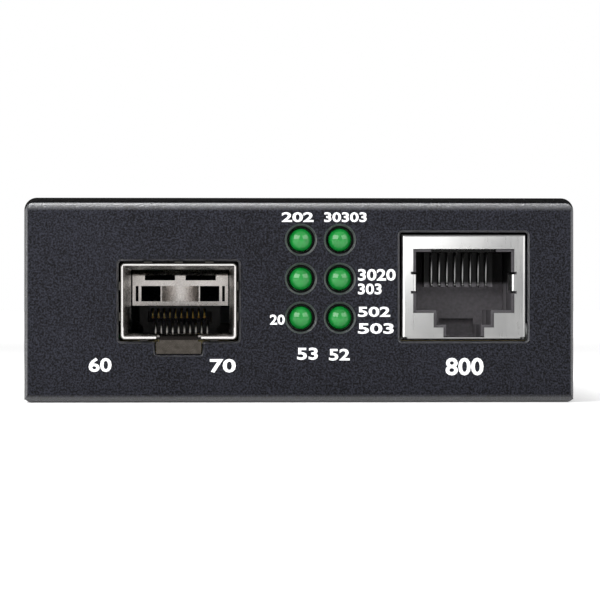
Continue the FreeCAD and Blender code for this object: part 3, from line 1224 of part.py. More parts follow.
def package(centre, size, lift_off, bevel):
    """A moulded package with bevelled upper edges and a dot at its first pin."""
    x, y = centre
    half_x, half_y, top = size[0] / 2, size[1] / 2, BOARD_Z + size[2]
    body = block(x - half_x, x + half_x, y - half_y, y + half_y, BOARD_Z + lift_off, top)
    rim = [e for e in body.Edges if all(abs(v.Z - top) < 1e-6 for v in e.Vertexes)]
    place = (x - half_x + PIN_DOT_IN, y - half_y + PIN_DOT_IN, top - PIN_DOT_DEPTH)
    return body.makeChamfer(bevel, rim).cut(rod(PIN_DOT_R, place, (0, 0, 1), 1))


def controller_chip():
    """The leadless controller: a flat moulded square with metal pads let into its lower edges."""
    x, y = CHIP_POS
    half = CHIP_SIZE / 2
    reach, wide, z0, z1 = half + 1, CHIP_PAD_W / 2, BOARD_Z - 1, BOARD_Z + CHIP_PAD_H
    pads = []
    for place in spread(CHIP_PADS, CHIP_PAD_PITCH):
        pads.append(block(x + place - wide, x + place + wide, y - reach, y + reach, z0, z1))
        pads.append(block(x - reach, x + reach, y + place - wide, y + place + wide, z0, z1))
    inner = half - CHIP_PAD_DEPTH
    core = block(x - inner, x + inner, y - inner, y + inner, BOARD_Z, z1 + SINK)
    body = package(CHIP_POS, (CHIP_SIZE, CHIP_SIZE, CHIP_T), 0, CHIP_BEVEL)
    return fused(cut(body, *pads), core)


def crystal():
    """A crystal in its drawn can, standing on two wires."""
    x, y = CRYSTAL_POS
    long, wide, height = CRYSTAL_SIZE
    foot = BOARD_Z + CRYSTAL_LIFT
    brim = foot + CRYSTAL_BRIM_H

    def lozenge(inset, z0, z1):
        half_l, half_w = long / 2 - inset, wide / 2 - inset
        corners = rectangle(x - half_l, x + half_l, y - half_w, y + half_w)
        return plate("XY", corners, z0, z1, [half_w - CRYSTAL_FLAT] * 4)

    can = fused(lozenge(0, foot, brim), lozenge(CRYSTAL_BRIM_W, brim, foot + height))
    return fused(can, *round_leads(x, y, CRYSTAL_LEAD_PITCH, foot))


def round_leads(x, y, pitch, top):
    """Two wires down through the board."""
    half = ROUND_LEAD / 2
    return [
        block(place - half, place + half, y - half, y + half, LEAD_END, top) for place in spread(2, pitch, x)
    ]


def capacitor():
    """An electrolytic can with its crimped groove and vented top, on two wires."""
    x, y = CAN_POS
    foot, top = BOARD_Z, BOARD_Z + CAN_H
    waist, crimp = CAN_R - CAN_CRIMP, foot + CAN_CRIMP_Z
    profile = [
        (0, foot), (CAN_R, foot), (CAN_R, crimp - CAN_CRIMP), (waist, crimp), (CAN_R, crimp + CAN_CRIMP),
        (CAN_R, top - CAN_CRIMP), (waist, top), (0, top),
    ]
    vent = cross_recess(CAN_VENT_DEPTH, CAN_R, CAN_VENT_W)
    vent.translate(Vector(x, y, top))
    can = turned(profile, (x, y, 0), (0, 0, 1)).cut(vent)
    return fused(can, *round_leads(x, y, CAN_LEAD_PITCH, foot + SINK))


def power_coil():
    """A wound drum in a square ferrite frame."""
    x, y = COIL_POS
    half, top = COIL_SIZE / 2, BOARD_Z + COIL_H
    frame = plate("XY", rectangle(x - half, x + half, y - half, y + half), BOARD_Z, top, [COIL_CORNER] * 4)
    foot = (x, y, BOARD_Z + COIL_FLOOR)
    outer = rod(half - COIL_WALL, foot, (0, 0, 1), COIL_H)
    drum = rod(half - COIL_WALL - COIL_GROOVE, foot, (0, 0, 1), COIL_H)
    return frame.cut(outer.cut(drum))


def build():
    os.makedirs("parts", exist_ok=True)
    save("base_tray", base_tray())
    save("top_cover", top_cover())
    save("cover_screws", *[cover_screw(side, y) for side, y in COVER_SCREWS])
    save("board_pillars", *[pillar(x, y) for x, y in PILLARS])
    save("board_screws", *[board_screw(x, y) for x, y in PILLARS])
    save("main_board", main_board())
    save("cage_shell", cage_shell())
    save("cage_base", cage_base())
    save("cage_spring_fingers", spring_fingers())
    save("card_connector_body", card_body())
    save("card_contacts_upper", *upper_card_contacts())
    save("card_contacts_lower", *lower_card_contacts())
    save("jack_shield", jack_shield())
    save("jack_insert", jack_insert())
    save("jack_contacts", *jack_contacts())
    for column, x in zip(("left", "right"), LAMP_COLUMNS):
        save(f"lamp_holder_{column}", lamp_holder(x))
        for row, z in zip(("lower", "middle", "upper"), LAMP_HEIGHTS):
            save(f"lamp_{row}_{column}", lamp(x, z))
    save("lamp_leads", *lamp_leads())
    save("inlet_body", inlet_body())
    save("inlet_pin", inlet_pin())
    save("inlet_leaf_contact", inlet_leaf())
    save("inlet_side_contact", inlet_switch())
    save("magnetics_module", package(MAGNETICS_POS, MAGNETICS_SIZE, MAGNETICS_LIFT, MAGNETICS_BEVEL))
    half, height = MAGNETICS_SIZE[1] / 2, MAGNETICS_LEAD_Z
    save("magnetics_leads", *turned_leads(MAGNETICS_POS, half, height, MAGNETICS_PINS, MAGNETICS_PITCH))
    save("controller_chip", controller_chip())
    save("memory_chip", package(MEMORY_POS, MEMORY_SIZE, CHIP_LIFT, MEMORY_BEVEL))
    half = MEMORY_SIZE[0] / 2
    save("memory_leads", *gull_leads(*MEMORY_POS, half, SMALL_LEAD_Z, MEMORY_PINS, MEMORY_PITCH))
    save("crystal_can", crystal())
    save("capacitor_can", capacitor())
    save("power_coil", power_coil())
    save("regulator_chip", package(REGULATOR_POS, REGULATOR_SIZE, CHIP_LIFT, REGULATOR_BEVEL))
    half = REGULATOR_SIZE[1] / 2
    save("regulator_leads", *turned_leads(REGULATOR_POS, half, SMALL_LEAD_Z, REGULATOR_PINS, REGULATOR_PITCH))


build()
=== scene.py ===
# %% [markdown]
# # A small fibre media converter
# A folded steel case, 70 mm wide, with a module cage, six green lamps and a network jack in its front.
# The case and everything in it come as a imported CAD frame, so this lesson is about finish: each metal,
# plastic and coating gets a procedural material, and what is too fine for CAD, such as round contact
# wires and printed numbers, is modelled here.

# %% Load the frame
import math

import bmesh
import bpy
from mathutils import Matrix, Vector


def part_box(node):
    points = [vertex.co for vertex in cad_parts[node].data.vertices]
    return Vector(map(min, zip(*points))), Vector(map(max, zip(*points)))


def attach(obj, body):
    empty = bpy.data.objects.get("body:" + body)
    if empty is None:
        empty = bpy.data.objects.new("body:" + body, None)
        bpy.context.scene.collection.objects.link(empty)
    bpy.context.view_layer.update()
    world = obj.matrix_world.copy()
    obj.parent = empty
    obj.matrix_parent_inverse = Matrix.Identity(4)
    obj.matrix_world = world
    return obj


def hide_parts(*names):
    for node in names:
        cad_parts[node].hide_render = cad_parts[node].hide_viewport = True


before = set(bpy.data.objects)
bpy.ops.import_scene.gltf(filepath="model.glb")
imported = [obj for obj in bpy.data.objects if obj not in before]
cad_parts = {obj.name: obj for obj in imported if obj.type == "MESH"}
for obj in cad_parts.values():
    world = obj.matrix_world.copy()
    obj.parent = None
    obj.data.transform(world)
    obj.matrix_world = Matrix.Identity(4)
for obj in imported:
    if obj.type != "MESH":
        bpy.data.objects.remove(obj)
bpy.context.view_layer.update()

MM = 0.001
print("nodes", len(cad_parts))

# %% [markdown]
# ## Where things are
# Every place comes from the frame's own boxes. The middle of the front panel is what the camera and the
# lights are aimed at.

# %% Places
tray_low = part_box("base_tray")[0]
cover_low, cover_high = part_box("top_cover")
FACE_Y = tray_low.y
CASE_WIDTH = cover_high.x - cover_low.x
PANEL_MIDDLE = Vector((0, FACE_Y, cover_high.z / 2))
print("case", round(CASE_WIDTH / MM, 1), round(cover_high.z / MM, 1))

# %% [markdown]
# ## Camera
# The case is seen square on, at half its height, and fills most of the frame's width. The camera stands in
# front of the module cage, left of the middle, so it looks straight into the cage and sees the inner right
# wall of the jack. It turns two degrees to bring the case back to the middle of the frame, which is too
# little to taper the panel.

# %% Camera
CAMERA_DISTANCE = 0.39
CAMERA_X = -0.0135
FRAME_FILL = 0.9185  # share of the frame's width that the case takes
NEAREST = 0.01  # metres from the camera within which there is nothing to see


def camera_at(x, distance):
    data = bpy.data.cameras.new("camera")
    camera = bpy.data.objects.new("camera", data)
    bpy.context.scene.collection.objects.link(camera)
    camera.location = (x, FACE_Y - distance, PANEL_MIDDLE.z)
    sight = PANEL_MIDDLE - camera.location
    camera.rotation_euler = sight.to_track_quat("-Z", "Y").to_euler()
    data.lens = data.sensor_width * sight.length * FRAME_FILL / CASE_WIDTH
    data.clip_start = NEAREST
    bpy.context.scene.camera = camera
    return camera


print("lens", round(camera_at(CAMERA_X, CAMERA_DISTANCE).data.lens, 1), "mm")

# %% [markdown]
# ## Nodes and colour
# A material is a small graph. One function adds any node, sets its properties and plugs its inputs, where
# a plain value sets a socket and a socket makes a link. A finish is a function that draws its graph and
# gives back what goes into the surface shader. Colours are written as a painter would pick them, in sRGB
# hex, and one function turns them into the linear values that light is reckoned in.

# %% Nodes and colour
def linear(hex_colour):
    """The linear colour of an sRGB hex value."""
    channels = [int(hex_colour[i:i + 2], 16) / 255 for i in (1, 3, 5)]
    return [c / 12.92 if c <= 0.04045 else ((c + 0.055) / 1.055) ** 2.4 for c in channels] + [1.0]


def node(tree, kind, inputs=None, **settings):
    """Adds a node, sets its properties, fills or links its inputs, and gives back its outputs."""
    made = tree.nodes.new("ShaderNode" + kind)
    for name, value in settings.items():
        setattr(made, name, value)
    for name, value in (inputs or {}).items():
        if isinstance(value, bpy.types.NodeSocket):
            tree.links.new(value, made.inputs[name])
        else:
            made.inputs[name].default_value = value
    return made.outputs


def new_material(name, finish, *choices):
    """A material whose surface takes what the finish gives back."""
    material = bpy.data.materials.new(name)
    material.use_nodes = True
    tree = material.node_tree
    tree.nodes.clear()
    shader = node(tree, "BsdfPrincipled", finish(tree, *choices))
    node(tree, "OutputMaterial", {"Surface": shader["BSDF"]})
    print(name, len(tree.nodes), "nodes")
    return material


# %% [markdown]
# ## Patterns
# Every finish below is put together from four things: a cloudy grain with features of a real size, two
# tones that the grain mixes, a relief so fine that only the light shows it, and masks that part one place
# from another. A mask is the side of a plane, which suits a case whose pieces lie square to the axes. The
# masks and the grain read Object coordinates, so they stay on the piece.

# %% Patterns
USUAL = {"From Min": 0.3, "From Max": 0.7}  # between these lie most values of a noise


def grain(tree, size_mm, detail=2.0, roughness=0.5, stretch=(1, 1, 1)):
    """A cloudy pattern with features size_mm across, drawn out along the axes where stretch is small."""
    place = node(tree, "Mapping", {"Vector": node(tree, "TexCoord")["Object"], "Scale": stretch})["Vector"]
    noise = {"Vector": place, "Scale": 1 / (size_mm * MM), "Detail": detail, "Roughness": roughness}
    return node(tree, "TexNoise", noise)["Fac"]


def two_tone(tree, pattern, dark, light):
    """A colour that goes from dark to light with a pattern."""
    tone = node(tree, "MapRange", {"Value": pattern} | USUAL)["Result"]
    return node(tree, "Mix", {0: tone, 6: linear(dark), 7: linear(light)}, data_type="RGBA")[2]


def fine_relief(tree, pattern, smoothest, roughest, depth_mm, under=None):
    """The roughness and the surface direction that a fine pattern gives, on top of the one under it."""
    spread = {"Value": pattern, "To Min": smoothest, "To Max": roughest}
    height = {"Height": pattern, "Distance": depth_mm * MM} | ({"Normal": under} if under else {})
    return {
        "Roughness": node(tree, "MapRange", spread | USUAL)["Result"],
        "Normal": node(tree, "Bump", height)["Normal"],
    }


def past_plane(tree, axis, limit, soft_mm, middle=None, past=1.0):
    """A mask for what lies past a plane, or past both of two planes that far from a middle."""
    place = node(tree, "SeparateXYZ", {0: node(tree, "TexCoord")["Object"]})[axis]
    if middle is not None:
        offset = node(tree, "Math", {0: place, 1: middle}, operation="SUBTRACT")[0]
        place = node(tree, "Math", {0: offset}, operation="ABSOLUTE")[0]
    step = {"From Min": limit, "From Max": limit + soft_mm * MM, "To Min": 1 - past, "To Max": past}
    return node(tree, "MapRange", {"Value": place} | step)["Result"]


def either(tree, first, *others):
    """The largest of several values, which is 1 where any of several masks is 1."""
    for other in others:
        first = node(tree, "Math", {0: first, 1: other}, operation="MAXIMUM")[0]
    return first


# %% [markdown]
# ## The case: wrinkle powder coat
# The folded steel of a network box is sprayed with black polyester powder, which melts and draws into fine
# wrinkles in the oven. They could be displaced geometry, but they are only a quarter of a millimetre
# across, so noises are enough: one for the wrinkles, one for the grit between them, drawn coarser than it
# is so that it shows at all, and one for slow changes of thickness. The crests are painted paler and a
# little blue, a painted glint for the light that catches them. Two places differ. Over a fold or a hole's
# rolled rim the melted coat is drawn tight and shines. Those are the places whose normal points along no
# axis. The cover's front edge is painted nearly black, a painted shade where it meets the panel's fold, and
# a mask along Y finds it.

# %% Wrinkle powder coat
WRINKLE = 0.25  # mm from crest to crest
WRINKLE_DEPTH = 0.09
GRIT = 0.17
GRIT_SHARE = 0.7  # how high the grit stands against the wrinkles
CREST_LOW, CREST_HIGH = 0.7, 1.04  # the relief's height where the coat is darkest and palest
DRIFT = 9.0  # mm across a patch of thicker coat
DRIFT_SHARE = 0.08  # how much paler or darker a patch is
EDGE_SHADE = 0.12  # mm in from the cover's front edge over which the coat is painted nearly black, as painted shade
GLOSS = 0.08  # the coat's specular level, low because soot-black powder is nearly matt
SKIN_IOR, SKIN_ROUGH = 1.75, 0.36  # the tight skin over a fold
CURVED, FLAT = 0.85, 0.99  # the largest part of the normal, where the coat is all skin and where it is none


def curved_parts(tree):
    """1 where the surface faces along no axis, as on folds and rims, and 0 on the flat sheet."""
    facing = node(tree, "NewGeometry")["Normal"]
    x, y, z = node(tree, "SeparateXYZ", {0: node(tree, "VectorMath", {0: facing}, operation="ABSOLUTE")[0]})
    return node(tree, "MapRange", {
        "Value": either(tree, x, y, z), "From Min": CURVED, "From Max": FLAT, "To Min": 1.0, "To Max": 0.0,
    })["Result"]


def wrinkle_powder_coat(tree, shaded_edge=None):
    """The case's coat, with painted shade along the cover's front edge at y = shaded_edge."""
    wrinkles = grain(tree, WRINKLE, roughness=0.6)
    grit = grain(tree, GRIT, detail=1.0)
    relief = node(tree, "Math", {0: grit, 1: GRIT_SHARE, 2: wrinkles}, operation="MULTIPLY_ADD")[0]
    # Painted glint: the crests of the relief are painted paler and a little blue.
    crests = node(tree, "MapRange", {"Value": relief, "From Min": CREST_LOW, "From Max": CREST_HIGH})[0]
    patches = {"Value": grain(tree, DRIFT), "To Min": -DRIFT_SHARE, "To Max": DRIFT_SHARE} | USUAL
    drift = node(tree, "MapRange", patches)["Result"]
    tone = node(tree, "Math", {0: crests, 1: drift}, operation="ADD", use_clamp=True)[0]
    colour = node(tree, "Mix", {0: tone, 6: linear("#020203"), 7: linear("#26272F")}, data_type="RGBA")[2]
    skin = curved_parts(tree)
    if shaded_edge is not None:
        # Painted shade: the cover's front edge is painted nearly black, without the tight skin.
        clear_of_shade = past_plane(tree, "Y", shaded_edge, EDGE_SHADE)
        colour = node(tree, "Mix", {0: clear_of_shade, 6: linear("#000000"), 7: colour}, data_type="RGBA")[2]
        skin = node(tree, "Math", {0: skin, 1: clear_of_shade}, operation="MULTIPLY")[0]
    rough = node(tree, "MapRange", {"Value": wrinkles, "To Min": 0.48, "To Max": 0.36} | USUAL)["Result"]
    normal = node(tree, "Bump", {"Height": relief, "Distance": WRINKLE_DEPTH * MM})["Normal"]
    return {
        "Base Color": colour, "Roughness": rough, "Specular IOR Level": GLOSS, "Normal": normal,
        "Coat Weight": skin, "Coat Roughness": SKIN_ROUGH, "Coat IOR": SKIN_IOR, "Coat Normal": normal,
    }


COAT = new_material("wrinkle_powder_coat", wrinkle_powder_coat)
# The cover's coat carries painted shade along its front edge.
COVER_COAT = new_material("wrinkle_powder_coat_painted_shade_edge", wrinkle_powder_coat, cover_low.y)

# %% [markdown]
# ## Plated metals
# The metals differ by how they were finished. The cage's spring fingers are stainless steel, left brownish
# grey by their hardening. The pillars are nickelled brass, the board's screws are zinc-plated, the
# cover's are blackened, and the contacts are gold, tin or nickel over copper alloys. Each is a metal
# surface with its own two tones and roughness, cloudy as plating is, and with a grain drawn out along the
# way that the sheet or the wire went through its rolls.

# %% Plated metals
PLATING_CLOUD = 4.0  # mm across a cloud in the plating
LINE_DEPTH = 0.002  # mm
UNEVENNESS = 0.04  # how far the roughness goes either side of its middle
EVEN, ALONG_X, ALONG_Y, ALONG_Z, DRAWN_Z = (1, 1, 1), (0.1, 1, 1), (1, 0.1, 1), (1, 1, 0.1), (1, 1, 0.05)


def rolled_metal(tree, dark, light, rough, line_mm, stretch):
    """Metal with rolling marks line_mm apart."""
    lines = grain(tree, line_mm, detail=3.0, stretch=stretch)
    colour = two_tone(tree, grain(tree, PLATING_CLOUD, detail=3.0), dark, light)
    marks = fine_relief(tree, lines, rough - UNEVENNESS, rough + UNEVENNESS, LINE_DEPTH)
    return {"Base Color": colour, "Metallic": 1.0} | marks


# Each has its dark and light tone, its roughness, the mm between its marks and the way they run.
STAINLESS = new_material("stainless_spring_steel", rolled_metal, "#4C4A47", "#5E5C58", 0.36, 0.1, ALONG_X)
ZINC = new_material("zinc_plated_steel", rolled_metal, "#8E9090", "#A6A8A6", 0.32, 0.3, EVEN)
BLACK_OXIDE = new_material("black_oxide_steel", rolled_metal, "#18191B", "#26272A", 0.38, 0.25, EVEN)
NICKEL_BRASS = new_material("nickel_plated_brass", rolled_metal, "#A39C89", "#B9B2A0", 0.28, 0.2, ALONG_Z)
GOLD = new_material("gold_flashed_bronze", rolled_metal, "#FFDB7A", "#FFEFB4", 0.5, 0.08, ALONG_Y)
TIN = new_material("bright_tinned_copper", rolled_metal, "#CFCFCF", "#E4E4E3", 0.36, 0.08, ALONG_Y)
NICKEL_WIRE = new_material("nickel_plated_wire", rolled_metal, "#7E7E7E", "#929291", 0.32, 0.08, ALONG_Y)
ALUMINIUM = new_material("drawn_aluminium", rolled_metal, "#9C9EA1", "#B5B7BA", 0.3, 0.12, DRAWN_Z)

# %% [markdown]
# ## The jack's jacket
# The jacket is brass sheet with a satin nickel plate. The stamping left its face slightly bowed: it leans a
# few degrees to the left along its left edge and a few degrees upwards along its top, and it is a little
# twisted. That is why it goes from nearly white to grey across a face that looks flat. The bow is a height
# that falls away from the face's lower right corner, and the rolling marks lie on top of it.

# %% Satin nickel
LEAN_LEFT = math.tan(math.radians(5))  # slope at the left edge
LEAN_UP = math.tan(math.radians(9))  # slope at the top edge
TWIST = math.tan(math.radians(8))  # extra slope to the left at the top, and upwards at the left
JACKET_LINE = 0.12  # mm between rolling marks
JACKET_LINE_DEPTH = 0.001


def bowed(tree, name):
    """A surface direction that leans left at the piece's left side and up at its top."""
    low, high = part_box(name)
    width, height = high.x - low.x, high.z - low.z
    x, _, z = node(tree, "SeparateXYZ", {0: node(tree, "TexCoord")["Object"]})
    left = node(tree, "Math", {0: high.x, 1: x}, operation="SUBTRACT")[0]
    up = node(tree, "Math", {0: z, 1: low.z}, operation="SUBTRACT")[0]
    bends = (
        (left, left, LEAN_LEFT / (2 * width)), (up, up, LEAN_UP / (2 * height)),
        (left, up, 2 * TWIST / (width + height)),
    )
    fall = 0.0
    for first, second, bend in bends:
        product = node(tree, "Math", {0: first, 1: second}, operation="MULTIPLY")[0]
        fall = node(tree, "Math", {0: product, 1: -bend, 2: fall}, operation="MULTIPLY_ADD")[0]
    return node(tree, "Bump", {"Height": fall, "Distance": 1.0})["Normal"]


def satin_nickel(tree, name):
    lines = grain(tree, JACKET_LINE, detail=3.0, stretch=(1, 1, 0.04))
    colour = two_tone(tree, grain(tree, PLATING_CLOUD, detail=3.0), "#8B8B8B", "#969695")
    marks = fine_relief(tree, lines, 0.27, 0.33, JACKET_LINE_DEPTH, bowed(tree, name))
    return {"Base Color": colour, "Metallic": 1.0} | marks


SATIN_NICKEL = new_material("satin_nickel_plate", satin_nickel, "jack_shield")

# %% [markdown]
# ## The module cage
# The cage is tin-plated steel, cut and folded after plating. Its walls are greyish and soft, and the cut
# rims, where the shears left bare bright steel, catch the light as a thin white line. The lip of the latch
# tongue, which fingers push, is painted a dull brownish dark as painted shade and dim painted reflection,
# and its fold is painted darker still as painted shade. The tongue and the walls are one sheet, so masks
# part them: the lip is what lies in front and is either below the board's top or in the tongue's own fold.

# %% Tin-plated cage
RIM_DEPTH = 0.03  # mm behind the mouth that still counts as the cut rim
BURNISH = 0.2  # mm of the rim's thickness, from outside, that the shears left bright
BURR = 0.02  # mm over which the bright part ends
LIP_DEPTH = 1.5  # mm behind the mouth that the lip's painted shade reaches
LIP_HALF = 2.8  # half the width of the lip's painted shade
LIP_TOP = 0.6  # mm above the cage's foot that the lip's fold reaches
SHARP = 0.08  # mm over which one surface gives way to another
CAGE_LINE = 0.15  # mm between rolling marks
LIP_SHADE_CLOUD = 0.8  # mm across a cloud in the lip's painted shade


def tinned_cage(tree):
    low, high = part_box("cage_shell")
    board_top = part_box("main_board")[1].z
    middle, half = (low.x + high.x) / 2, (high.x - low.x) / 2

    bright = either(
        tree, past_plane(tree, "X", half - BURNISH * MM, BURR, middle),
        past_plane(tree, "Z", high.z - BURNISH * MM, BURR),
        past_plane(tree, "Z", low.z + BURNISH * MM, BURR, past=0.0),
    )
    rim = node(tree, "Mix", {0: bright, 6: linear("#4C4946"), 7: linear("#CFCDCB")}, data_type="RGBA")[2]
    plate = two_tone(tree, grain(tree, PLATING_CLOUD, detail=3.0), "#C6C2BF", "#D6D2CF")
    behind_rim = past_plane(tree, "Y", low.y + RIM_DEPTH * MM, SHARP)
    sheet = node(tree, "Mix", {0: behind_rim, 6: rim, 7: plate}, data_type="RGBA")[2]

    above_board = past_plane(tree, "Z", board_top, SHARP)
    clear_of_tongue = either(
        tree, past_plane(tree, "X", LIP_HALF * MM, SHARP, middle),
        past_plane(tree, "Z", low.z + LIP_TOP * MM, SHARP),
    )
    wall = node(tree, "Math", {0: above_board, 1: clear_of_tongue}, operation="MULTIPLY")[0]
    tongue = node(tree, "Math", {0: 1.0, 1: wall}, operation="SUBTRACT")[0]
    in_front = past_plane(tree, "Y", low.y + LIP_DEPTH * MM, SHARP, past=0.0)
    lip = node(tree, "Math", {0: in_front, 1: tongue}, operation="MULTIPLY")[0]
    # Painted shade: the lip is painted dull brownish dark, and its fold above the board's top nearly black.
    shaded_lip = two_tone(tree, grain(tree, LIP_SHADE_CLOUD, detail=3.0), "#33302C", "#423E3A")
    shaded_lip = node(tree, "Mix", {0: above_board, 6: shaded_lip, 7: linear("#1C1A19")}, data_type="RGBA")[2]

    colour = node(tree, "Mix", {0: lip, 6: sheet, 7: shaded_lip}, data_type="RGBA")[2]
    lines = grain(tree, CAGE_LINE, detail=3.0, stretch=(1, 0.06, 1))
    return {"Base Color": colour, "Metallic": 1.0} | fine_relief(tree, lines, 0.24, 0.34, LINE_DEPTH)


TIN_PLATE = new_material("tin_plated_steel", tinned_cage)

# %% [markdown]
# ## Moulded plastics
# The card connector, the lamp towers and the power inlet are black glass-filled polyester, moulded in
# polished steel: dark, a little glossy, with a faint flow grain. The chips are black epoxy, which is matt
# and slightly brown, and the coil's core is pressed and fired ferrite, which is grey and rough. All are
# plain surfaces with a small noise in roughness and relief.

# %% Moulded plastics
FLOW = 3.0  # mm across a flow mark


def moulded(tree, dark, light, rough, grain_mm, depth_mm, specular):
    skin = grain(tree, grain_mm, detail=3.0)
    colour = two_tone(tree, grain(tree, FLOW), dark, light)
    marks = fine_relief(tree, skin, rough - 0.06, rough + 0.06, depth_mm)
    return {"Base Color": colour, "Specular IOR Level": specular} | marks


# Each has its dark and light tone, its roughness, its grain's size and depth in mm and its specular level.
POLYESTER = new_material("black_moulded_polyester", moulded, "#0B0A0B", "#121112", 0.42, 0.18, 0.004, 0.2)
CHIP_EPOXY = new_material("black_epoxy_compound", moulded, "#1C1B1B", "#262524", 0.6, 0.12, 0.006, 0.4)
FERRITE = new_material("sintered_ferrite", moulded, "#2D2D2F", "#3B3B3D", 0.5, 0.15, 0.01, 0.4)

# %% [markdown]
# ## The jack's insert
# The insert is dark grey plastic at the mouth. The rear wall, which the plug stops against, is painted a
# paler grey as painted light, and the comb and the roof above it are painted black as painted shade, so
# that the contacts stand out. Masks along Y and Z part the three.

# %% Insert of the jack
COMB_FOOT = 7.1  # mm from the board to where the painted black shade starts
MOUTH_DEPTH = 0.6  # mm behind the jack's face where the painted black shade starts
REAR_WALL = 7.0  # mm behind the jack's face where the rear wall's painted light starts
SHADE_EDGE = 0.4  # mm over which one painted tone gives way to the next
INSERT_GRAIN, INSERT_DEPTH = 0.4, 0.006  # mm


def jack_polyester(tree):
    front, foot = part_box("jack_shield")[0].y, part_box("main_board")[1].z
    above = past_plane(tree, "Z", foot + COMB_FOOT * MM, SHADE_EDGE)
    behind = past_plane(tree, "Y", front + MOUTH_DEPTH * MM, SHADE_EDGE)
    deep = past_plane(tree, "Y", front + REAR_WALL * MM, SHADE_EDGE)
    skin = grain(tree, INSERT_GRAIN, detail=3.0)
    mouth = two_tone(tree, skin, "#3A383B", "#474548")
    # Painted light: the rear wall is painted paler grey than the mouth.
    rear = two_tone(tree, skin, "#716E72", "#817E82")
    greys = node(tree, "Mix", {0: deep, 6: mouth, 7: rear}, data_type="RGBA")[2]
    # Painted shade: the comb and the roof above it are painted near black.
    comb = node(tree, "Math", {0: above, 1: behind}, operation="MULTIPLY")[0]
    colour = node(tree, "Mix", {0: comb, 6: greys, 7: linear("#040404")}, data_type="RGBA")[2]
    marks = fine_relief(tree, skin, 0.5, 0.6, INSERT_DEPTH)
    return {"Base Color": colour, "Specular IOR Level": 0.2} | marks


INSERT_LIGHT_AND_SHADE = new_material("moulded_polyester_painted_light_and_shade", jack_polyester)

# %% [markdown]
# ## Lamps: green epoxy
# A round lamp is cast in tinted epoxy with a milky filler, so it looks the same green all through. Its skin
# is as smooth as the polished mould and mirrors the two softboxes.

# %% Green epoxy
EPOXY_IOR = 1.55
FILLER = 1.2  # mm across a cloud of filler


def green_epoxy(tree):
    colour = two_tone(tree, grain(tree, FILLER), "#0D6B27", "#147C31")
    return {"Base Color": colour, "Roughness": 0.1, "IOR": EPOXY_IOR, "Specular IOR Level": 0.38}


GREEN_EPOXY = new_material("green_diffused_epoxy", green_epoxy)

# %% [markdown]
# ## The printed board
# Glass-epoxy laminate under green solder mask. The tracks under the mask show as slightly raised, slightly
# lighter lines, which a brick pattern of long thin bricks draws well enough, and the sawn edge is bare
# yellowish laminate. Which of the two shows is decided by the direction that the surface faces.

# %% Board laminate
TRACK = 1.3  # mm between tracks
TRACK_WIDTH = 0.3
TRACK_RUN = 9  # mm from one cross-track to the next
TRACK_HEIGHT = 0.03
BUSY = 11.0  # mm across a patch of board that has tracks
SAWN_GRAIN = 0.3


def board_laminate(tree):
    tracks = node(tree, "TexBrick", {
        "Vector": node(tree, "TexCoord")["Object"], "Scale": 1.0, "Mortar Size": TRACK_WIDTH / 2 * MM,
        "Mortar Smooth": 0.2, "Brick Width": TRACK_RUN * MM, "Row Height": TRACK * MM,
    }, offset=0.37, squash=0.6, squash_frequency=3)["Fac"]
    patches = {"Value": grain(tree, BUSY, detail=0.0), "From Min": 0.48, "From Max": 0.54}
    busy = node(tree, "MapRange", patches)["Result"]
    lines = node(tree, "Math", {0: tracks, 1: busy}, operation="MULTIPLY")[0]
    mask = node(tree, "Mix", {0: lines, 6: linear("#0B3B20"), 7: linear("#1B5E37")}, data_type="RGBA")[2]
    fibres = {0: grain(tree, SAWN_GRAIN), 6: linear("#8F7F4C"), 7: linear("#B7A774")}
    sawn = node(tree, "Mix", fibres, data_type="RGBA")[2]
    upright = node(tree, "SeparateXYZ", {0: node(tree, "NewGeometry")["Normal"]})["Z"]
    flat = node(tree, "Math", {0: upright}, operation="ABSOLUTE")[0]
    colour = node(tree, "Mix", {0: flat, 6: sawn, 7: mask}, data_type="RGBA")[2]
    normal = node(tree, "Bump", {"Height": lines, "Distance": TRACK_HEIGHT * MM})["Normal"]
    return {"Base Color": colour, "Roughness": 0.34, "Normal": normal}


LAMINATE = new_material("solder_masked_laminate", board_laminate)

# %% [markdown]
# ## Screen-printed ink
# The marks are white epoxy ink, pushed through a screen onto the wrinkles. It lies in them, so it takes on
# a trace of their grain and is never quite even.

# %% White ink
INK_RELIEF = 0.01  # mm


def white_ink(tree):
    wrinkles = grain(tree, WRINKLE)
    colour = two_tone(tree, wrinkles, "#E0E0E2", "#F4F4F5")
    normal = node(tree, "Bump", {"Height": wrinkles, "Distance": INK_RELIEF * MM})["Normal"]
    return {"Base Color": colour, "Roughness": 0.5, "Normal": normal}


WHITE_INK = new_material("white_screen_ink", white_ink)

# %% [markdown]
# ## Dressing the frame
# The frame's own pieces keep their shapes and only change their finish, so each finish is listed once
# with the pieces that wear it.

